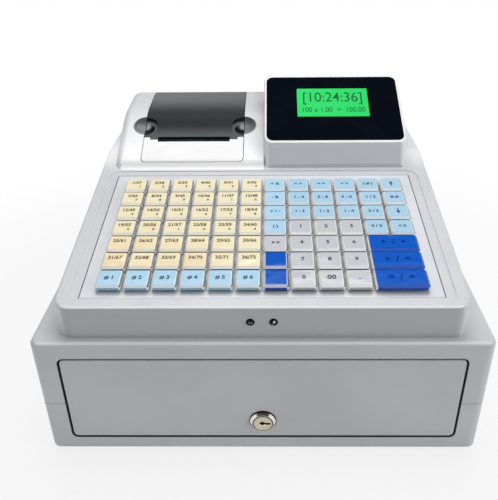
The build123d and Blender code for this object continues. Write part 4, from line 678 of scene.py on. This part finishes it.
# ---- Key legends -------------------------------------------------------------
# Small numbers and signs printed on the cards in dark ink: two numbers on each
# cream key, one on each grey key, plain signs and arrows on the others.
key_pitch = 0.01905
first_column, first_row = -0.1047, 0.0241
ink_lift, ink_depth, ink_spread = 0.00003, 0.00002, 0.00017


def flat_text(text, size, spread, smoothness):
    """Thin figures, level about the origin, as a mesh."""
    bpy.ops.object.select_all(action="DESELECT")
    bpy.ops.object.text_add(location=(0, 0, 0))
    figures = bpy.context.object
    figures.data.body = text
    figures.data.size = size
    figures.data.align_x, figures.data.align_y = "CENTER", "CENTER"
    figures.data.resolution_u = smoothness
    figures.data.extrude = ink_depth
    figures.data.offset = spread
    bpy.ops.object.convert(target="MESH")
    return figures


def join(pieces):
    """Make several pieces one."""
    bpy.ops.object.select_all(action="DESELECT")
    for piece in pieces:
        piece.select_set(True)
    bpy.context.view_layer.objects.active = pieces[0]
    if len(pieces) > 1:
        bpy.ops.object.join()
    return pieces[0]


def on_key(column, row, across=0.0, along=0.0):
    """Where a sign lies on the key at (column, row), counted from the left and from the front."""
    right_by = first_column + (column - 1) * key_pitch + across
    up_by = first_row + (row - 1) * key_pitch + along
    middle = deck_origin + Vector((right_by, 0, 0)) + up_by * deck_up + (cap_top + ink_lift) * deck_normal
    return Matrix.Translation(middle) @ Matrix.Rotation(deck_tilt, 4, "X")


def print_sign(text, column, row, size, across=0.0, along=0.0, wide=1.0):
    """A printed sign on a key, moved from its middle and widened if asked."""
    sign = flat_text(text, size, ink_spread, smoothness=2)
    sign.data.transform(on_key(column, row, across, along) @ Matrix.Diagonal((wide, 1, 1, 1)))
    return sign


def arrow_sign(column, row, up):
    """A printed arrow: a bar with a pointed head."""
    head_radius, head_up = 0.0021, 0.0012
    bar_width, bar_down, bar_stretch = 0.0011, 0.0014, 3.0
    bpy.ops.mesh.primitive_circle_add(vertices=3, radius=head_radius, fill_type="NGON")
    head = bpy.context.object
    head.data.transform(Matrix.Translation((0, head_up, 0)))
    bpy.ops.mesh.primitive_plane_add(size=bar_width)
    bar = bpy.context.object
    bar.data.transform(Matrix.Translation((0, -bar_down, 0)) @ Matrix.Diagonal((1, bar_stretch, 1, 1)))
    arrow = join([head, bar])
    bpy.ops.object.mode_set(mode="EDIT")
    bpy.ops.mesh.select_all(action="SELECT")
    bpy.ops.mesh.extrude_region_move(TRANSFORM_OT_translate={"value": (0, 0, ink_depth)})
    bpy.ops.mesh.select_all(action="SELECT")
    bpy.ops.mesh.normals_make_consistent(inside=False)
    bpy.ops.object.mode_set(mode="OBJECT")
    if not up:
        arrow.data.transform(Matrix.Rotation(pi, 4, "Z"))
    arrow.data.transform(on_key(column, row))
    return arrow


def ink_finish(name, colour, gloss=0.5):
    """Screen-printed ink with a slightly broken edge of tone."""
    made, tree, shader, place = finish_of(name, 0.5, specular=gloss)
    worn = patches(tree, place, 0.0006, 3, 0.45, 0.8)
    colour_with(tree, shader, blend(tree, worn, colour, scaled(colour, 1.5, lift=0.02)))
    return made


def set_of_signs(key_node, ending, signs, ink):
    """Join printed signs into one piece that moves with its keys."""
    printed = join(signs)
    printed.name = printed.data.name = key_node + ending
    printed.data.materials.clear()
    printed.data.materials.append(ink)
    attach(printed, key_node + "_body")


brown_ink = ink_finish("brown_ink", linear(92, 68, 38))
navy_ink = ink_finish("navy_ink", linear(24, 58, 96))
grey_ink = ink_finish("grey_ink", linear(48, 50, 58))
deep_ink = ink_finish("deep_blue_ink", linear(4, 30, 104), 0.05)

item_columns, last_item = 6, 36
top_row, lowest_digit_row = 7, 4
pair_size, pair_up, pair_width = 0.0048, 0.0020, 0.92
digit_size, digit_aside, digit_down = 0.0034, 0.0036, 0.0034
number_size, large_number_size = 0.0052, 0.0062
item_sign_size, function_sign_size, small_sign_size, wide_sign_size = 0.0050, 0.0046, 0.0044, 0.0072
for key_node, rows in (("item_keys_front", (2, 3)), ("item_keys_middle", (4, 5)), ("item_keys_rear", (6, 7))):
    signs = []
    for row in rows:
        for column in range(1, item_columns + 1):
            item = item_columns * (top_row - row) + column
            pair = f"{item}/{item + last_item}"
            signs.append(print_sign(pair, column, row, pair_size, along=pair_up, wide=pair_width))
            if row >= lowest_digit_row:
                digit = str(item % 10)
                signs.append(print_sign(digit, column, row, digit_size, digit_aside, -digit_down))
    set_of_signs(key_node, "_legends", signs, brown_ink)

number_places = {"key_0": ("0", 8, 1), "key_00": ("00", 9, 1), "key_point": (".", 10, 1)}
for digit in range(1, 10):
    number_places[f"key_{digit}"] = (str(digit), 8 + (digit - 1) % 3, 4 - (digit - 1) // 3)
for key_node, (text, column, row) in number_places.items():
    size = large_number_size if text in ("00", ".") else number_size
    signs = [print_sign(text, column, row, size)]
    set_of_signs(key_node, "_legend", signs, grey_ink)

function_signs = [print_sign(f"# {column}", column, 1, item_sign_size) for column in range(1, 7)]
for row, text in ((7, "+ %"), (6, "- %"), (5, "+ / -"), (4, "( )"), (3, "x x")):
    function_signs.append(print_sign(text, 7, row, function_sign_size))
set_of_signs("function_keys", "_legends", function_signs, navy_ink)

upper_texts = {7: ("< <", "= =", "> >"), 6: ("1 - 4", "5 - 8", "9 - 0"), 5: ("1 : 2", "1 : 3", "1 : 4")}
upper_signs = [
    print_sign(text, column, row, small_sign_size)
    for row, texts in upper_texts.items()
    for column, text in enumerate(texts, start=8)
]
set_of_signs("upper_keys", "_legends", upper_signs, navy_ink)

right_signs = [arrow_sign(12, 7, True), arrow_sign(12, 5, False)]
for column, row, text in (
    (11, 7, "( # )"), (11, 6, "1 / 2"), (11, 5, "2 / 2"), (11, 4, "0 / 0"), (12, 6, "# #"), (12, 4, "< 0"),
):
    right_signs.append(print_sign(text, column, row, small_sign_size))
set_of_signs("right_keys", "_legends", right_signs, navy_ink)

for key_node, row, text in (
    ("wide_key_rear", 3, "+  /  +"), ("wide_key_middle", 2, "+  /  ="), ("wide_key_front", 1, "=  /  ="),
):
    signs = [print_sign(text, 11.5, row, wide_sign_size)]
    set_of_signs(key_node, "_legend", signs, deep_ink)


# ---- Receipt printer ---------------------------------------------------------
# A white front cover, a smoke-grey lid that lifts at the rear hinge, and dark
# thumb cups in the frame on both sides of it, over the roller and the head.
cover_plastic = moulded("cover_white_plastic", linear(243, 243, 244), 0.33)[0]
dress(cover_plastic, "printer_cover")

dish_radius, dish_reach, dish_behind_edge = 0.0104, 0.0445, 0.013
lid_slant = 0.9
printer_middle_x = -0.0625
lid_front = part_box("printer_lid")[0].y


def from_dish(tree, place, toward_back=0.0):
    """Distance from the nearer thumb dish's centre, measured along the sloping skin."""
    parts = split(tree, place)
    aside = combine(tree, "SUBTRACT", distance_from(tree, parts["X"], printer_middle_x), dish_reach)
    back = combine(tree, "SUBTRACT", parts["Y"], lid_front + dish_behind_edge + toward_back)
    return diagonal(tree, aside, combine(tree, "DIVIDE", back, lid_slant))


dark_smoke_and_shade = linear(5, 6, 11)
lip_end, dark_start, dark_end, pale_start = 0.002, 0.017, 0.018, 0.070
core_shift, core_radius, core_end = -0.0012, 0.0078, 0.0092
glint_shift, glint_radius, glint_end = 0.0042, 0.0018, 0.0058
lid_plastic, tree, shader, place = finish_of("smoked_lid", 0.34, specular=0.1)
along = split(tree, place)["Y"]
# The lid's smoke tint with painted reflections: lighter at the front lip and the rear, dark in the middle.
front_reflection_fade = fade(tree, along, lid_front + lip_end, lid_front + dark_start, 0, 1)
rear_reflection_fade = fade(tree, along, lid_front + dark_end, lid_front + pale_start, 0, 1)
smoke_and_painted_light = blend(tree, front_reflection_fade, linear(78, 85, 90), dark_smoke_and_shade)
smoke_and_painted_light = blend(tree, rear_reflection_fade, smoke_and_painted_light, linear(124, 125, 125))
swirl = patches(tree, place, 0.03, 3, most=0.12, stretch=(0.3, 1, 1))
smoke_and_painted_light = blend(tree, swirl, smoke_and_painted_light, linear(60, 62, 66))
# Front faces painted near black, as the shade of the paper slot.
smoke_and_painted_light = blend(tree, facing_front(tree), smoke_and_painted_light, linear(4, 5, 6))
# The thumb dish is painted with its shading: a grey rim, a dark core as painted shade and a pale painted
# highlight.
dish = combine(tree, "LESS_THAN", from_dish(tree, place), dish_radius)
smoke_and_painted_light = blend(tree, dish, smoke_and_painted_light, linear(92, 93, 97))
dish_painted_shade = fade(tree, from_dish(tree, place, core_shift), core_radius, core_end, 1, 0)
smoke_and_painted_light = blend(tree, dish_painted_shade, smoke_and_painted_light, dark_smoke_and_shade)
dish_painted_highlight = fade(tree, from_dish(tree, place, glint_shift), glint_radius, glint_end, 1, 0)
colour_with(tree, shader, blend(tree, dish_painted_highlight, smoke_and_painted_light, linear(152, 154, 160)))
grain(tree, shader, noise(tree, place, 0.0006), 0.00002)
dress(lid_plastic, "printer_lid")

cup_radius = 0.0125
cup_from, cup_to = lid_front + 0.004, lid_front + 0.022
frame_plastic, tree, shader, place = moulded("printer_frame_plastic", linear(80, 82, 85), 0.34)
# The dark cups are painted lighter towards the front, as light falling into the dish.
cup_lit_front = fade(tree, split(tree, place)["Y"], cup_from, cup_to, 1, 0)
cup_painted_light = combine(tree, "LESS_THAN", from_dish(tree, place), cup_radius)
cup_painted_light = combine(tree, "MULTIPLY", cup_lit_front, cup_painted_light)
colour_with(tree, shader, blend(tree, cup_painted_light, paint_of(shader), linear(142, 143, 146)))
dress(frame_plastic, "printer_frame")
dress(zinc, "feed_motor", "tear_bar")
dress(rubber, "platen_roller")
head_metal = plated("head_heat_sink", linear(190, 193, 198), 0.3, brushed=(0.05, 1, 1))
dress(head_metal, "print_head")


# ---- Paper roll --------------------------------------------------------------
# Thin thermal paper wound on a brown card tube, loose in its bin under the
# lid. The roll's ends show its turns.
roll_low, roll_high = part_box("paper_roll")
roll_middle = (roll_low + roll_high) / 2
roll_paper, tree, shader, place = finish_of("thermal_paper", 0.6)
windings = waves(
    tree, moved(tree, place, Location=(0, -roll_middle.y, -roll_middle.z)),
    wave_type="RINGS", rings_direction="X", Scale=420, Distortion=0.8,
)
colour_with(tree, shader, blend(tree, windings, linear(238, 238, 234), linear(214, 214, 210)))
grain(tree, shader, windings, 0.00004)
dress(roll_paper, "paper_roll")

tube_radius, tube_wall, tube_set_in = 0.0059, 0.0011, 0.0004
tube_length = roll_high.x - roll_low.x - 2 * tube_set_in
bpy.ops.mesh.primitive_cylinder_add(
    vertices=64, radius=tube_radius, depth=tube_length, end_fill_type="NOTHING"
)
card_tube = bpy.context.object
card_tube.name = "paper_roll_tube"
card_tube.data.transform(Matrix.Translation(roll_middle) @ Matrix.Rotation(pi / 2, 4, "Y"))
wall = card_tube.modifiers.new("wall", "SOLIDIFY")
wall.thickness, wall.offset = tube_wall, -1
bpy.ops.object.modifier_apply(modifier="wall")
bpy.ops.object.shade_smooth_by_angle(angle=radians(30))
card, tree, shader, place = finish_of("grey_brown_card", 0.85)
ply = noise(tree, place, 0.0012, 4, (0.3, 1, 1))
colour_with(tree, shader, blend(tree, ply, linear(150, 128, 98), linear(176, 154, 122)))
grain(tree, shader, ply, 0.00008)
card_tube.data.materials.append(card)
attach(card_tube, "roll")


# ---- Display pod -------------------------------------------------------------
# A raised white moulding with a thick bright rim, carrying the clerk's window
# on its slope and a small window for the customer at the rear.
pod_plastic, tree, shader, place = moulded("pod_white_plastic", linear(238, 239, 241), 0.36)
# Front faces painted a shade darker, as painted shade.
colour_with(tree, shader, blend(tree, facing_front(tree), paint_of(shader), linear(200, 203, 207)))
dress(pod_plastic, "display_pod")
glass, tree, shader, place = finish_of("black_window", 0.1, specular=0.0)
dust = patches(tree, place, 0.02, 4, 0.4, 0.8)
colour_with(tree, shader, blend(tree, dust, linear(10, 14, 22), linear(15, 19, 28)))
dress(glass, "display_window", "customer_window")


# ---- Clerk's screen ----------------------------------------------------------
# A green backlit liquid crystal screen with a fine dot grid, a clock in large
# figures and a row of small ones below it.
def light_up(tree, shader, paint, unlit):
    """Let the paint shine at its own strength, over the colour that it has unlit."""
    tree.links.new(paint, shader.inputs["Emission Color"])
    shader.inputs["Base Color"].default_value = unlit
    shader.inputs["Emission Strength"].default_value = 1.0


window_slope = asin(0.4258)
window_up, window_normal = slope_axes(window_slope)
rim_middle = Vector((0.06225, 0.05746, 0.1946))
screen_low, screen_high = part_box("lcd_module")
screen_middle_x = (screen_low.x + screen_high.x) / 2
screen_wide, screen_deep = 0.0645, 0.037
screen_up_slope = 0.0071
screen_along = rim_middle.y * cos(window_slope) + rim_middle.z * sin(window_slope) + screen_up_slope
dot_pitch, dot_gap = 0.0007, 0.00012
side_glow = 0.25
screen, tree, shader, place = finish_of("green_screen", 0.3, specular=0.05)
parts = split(tree, moved(tree, place, Rotation=(-window_slope, 0, 0)))
across = distance_from(tree, parts["X"], screen_middle_x)
along = distance_from(tree, parts["Y"], screen_along)
inside = combine(
    tree, "MULTIPLY",
    combine(tree, "LESS_THAN", across, screen_wide / 2),
    combine(tree, "LESS_THAN", along, screen_deep / 2),
)
columns = combine(tree, "PINGPONG", parts["X"], dot_pitch)
rows = combine(tree, "PINGPONG", parts["Y"], dot_pitch)
grid = fade(tree, combine(tree, "MINIMUM", columns, rows), 0, dot_gap, 0, 1)
lit = blend(tree, grid, linear(18, 200, 88), linear(24, 222, 102))
glow_share = fade(tree, parts["X"], screen_low.x, screen_high.x, side_glow, 0)
lit = blend(tree, glow_share, lit, linear(60, 244, 128))
light_up(tree, shader, blend(tree, inside, linear(4, 4, 8), lit), linear(6, 20, 10))
dress(screen, "lcd_module")

face_below_rim = 0.0003
figure_spread = 0.3 * ink_spread
crystal, tree, shader, place = finish_of("dark_crystal", 0.3, specular=0.05)
density = patches(tree, place, 0.0015, 2)
light_up(tree, shader, blend(tree, density, linear(6, 88, 44), linear(12, 108, 56)), linear(6, 24, 12))
for name, text, size, along, width in (
    ("screen_clock", "[10:24:36]", 0.0175, 0.0062, 0.0535),
    ("screen_totals", "100 x 1.00  =  100.00", 0.0088, -0.0098, 0.056),
):
    figures = flat_text(text, size, figure_spread, smoothness=12)
    figures.name = figures.data.name = name
    middle = Vector((screen_middle_x, rim_middle.y, rim_middle.z))
    middle += (screen_up_slope + along) * window_up + (ink_lift - face_below_rim) * window_normal
    laid = Matrix.Translation(middle) @ Matrix.Rotation(window_slope, 4, "X")
    figures.data.transform(laid @ Matrix.Diagonal((width / figures.dimensions.x, 1, 1, 1)))
    figures.data.materials.append(crystal)
    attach(figures, "case")


# ---- Rear connector panel and power switch -----------------------------------
# A black moulded panel with two modular sockets, a power jack and a rocker
# switch. Gilt spring contacts lie in the sockets.
panel_plastic = moulded("panel_black_plastic", linear(34, 35, 37), 0.42)[0]
dress(panel_plastic, "port_panel")
rocker_plastic = moulded("rocker_black_plastic", linear(24, 25, 27), 0.3)[0]
dress(rocker_plastic, "power_switch")

panel_low, panel_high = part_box("port_panel")
panel_middle = (panel_low + panel_high) / 2
gilt = plated("gilt_contacts", linear(226, 186, 96), 0.25)
contact_count = 6
contact_gauge, contact_length, contact_pitch = 0.0005, 0.0075, 0.00102
contact_set_in, contact_bend, bend_from = 0.0065, 0.0008, 0.3
for name, across, above in (
    ("drawer_socket_contacts", -0.024, 0.0034), ("data_socket_contacts", -0.007, 0.0027),
):
    strips = []
    for strip in range(contact_count):
        bpy.ops.object.select_all(action="DESELECT")
        bpy.ops.mesh.primitive_cube_add(size=1)
        contact = bpy.context.object
        contact.data.transform(Matrix.Diagonal((contact_gauge, contact_length, contact_gauge, 1)))
        bpy.ops.object.mode_set(mode="EDIT")
        bpy.ops.mesh.select_all(action="SELECT")
        bpy.ops.mesh.subdivide(number_cuts=2)
        bpy.ops.mesh.select_all(action="DESELECT")
        bpy.ops.object.mode_set(mode="OBJECT")
        for vertex in contact.data.vertices:
            vertex.select = vertex.co.y > bend_from * contact_length
        bpy.ops.object.mode_set(mode="EDIT")
        bpy.ops.transform.translate(value=(0, 0, -contact_bend))
        bpy.ops.object.mode_set(mode="OBJECT")
        contact.data.transform(Matrix.Translation((
            panel_middle.x + across + (strip - (contact_count - 1) / 2) * contact_pitch,
            panel_high.y - contact_set_in,
            panel_middle.z + above,
        )))
        strips.append(contact)
    contacts = join(strips)
    contacts.name = contacts.data.name = name
    contacts.data.materials.append(gilt)
    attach(contacts, "case")
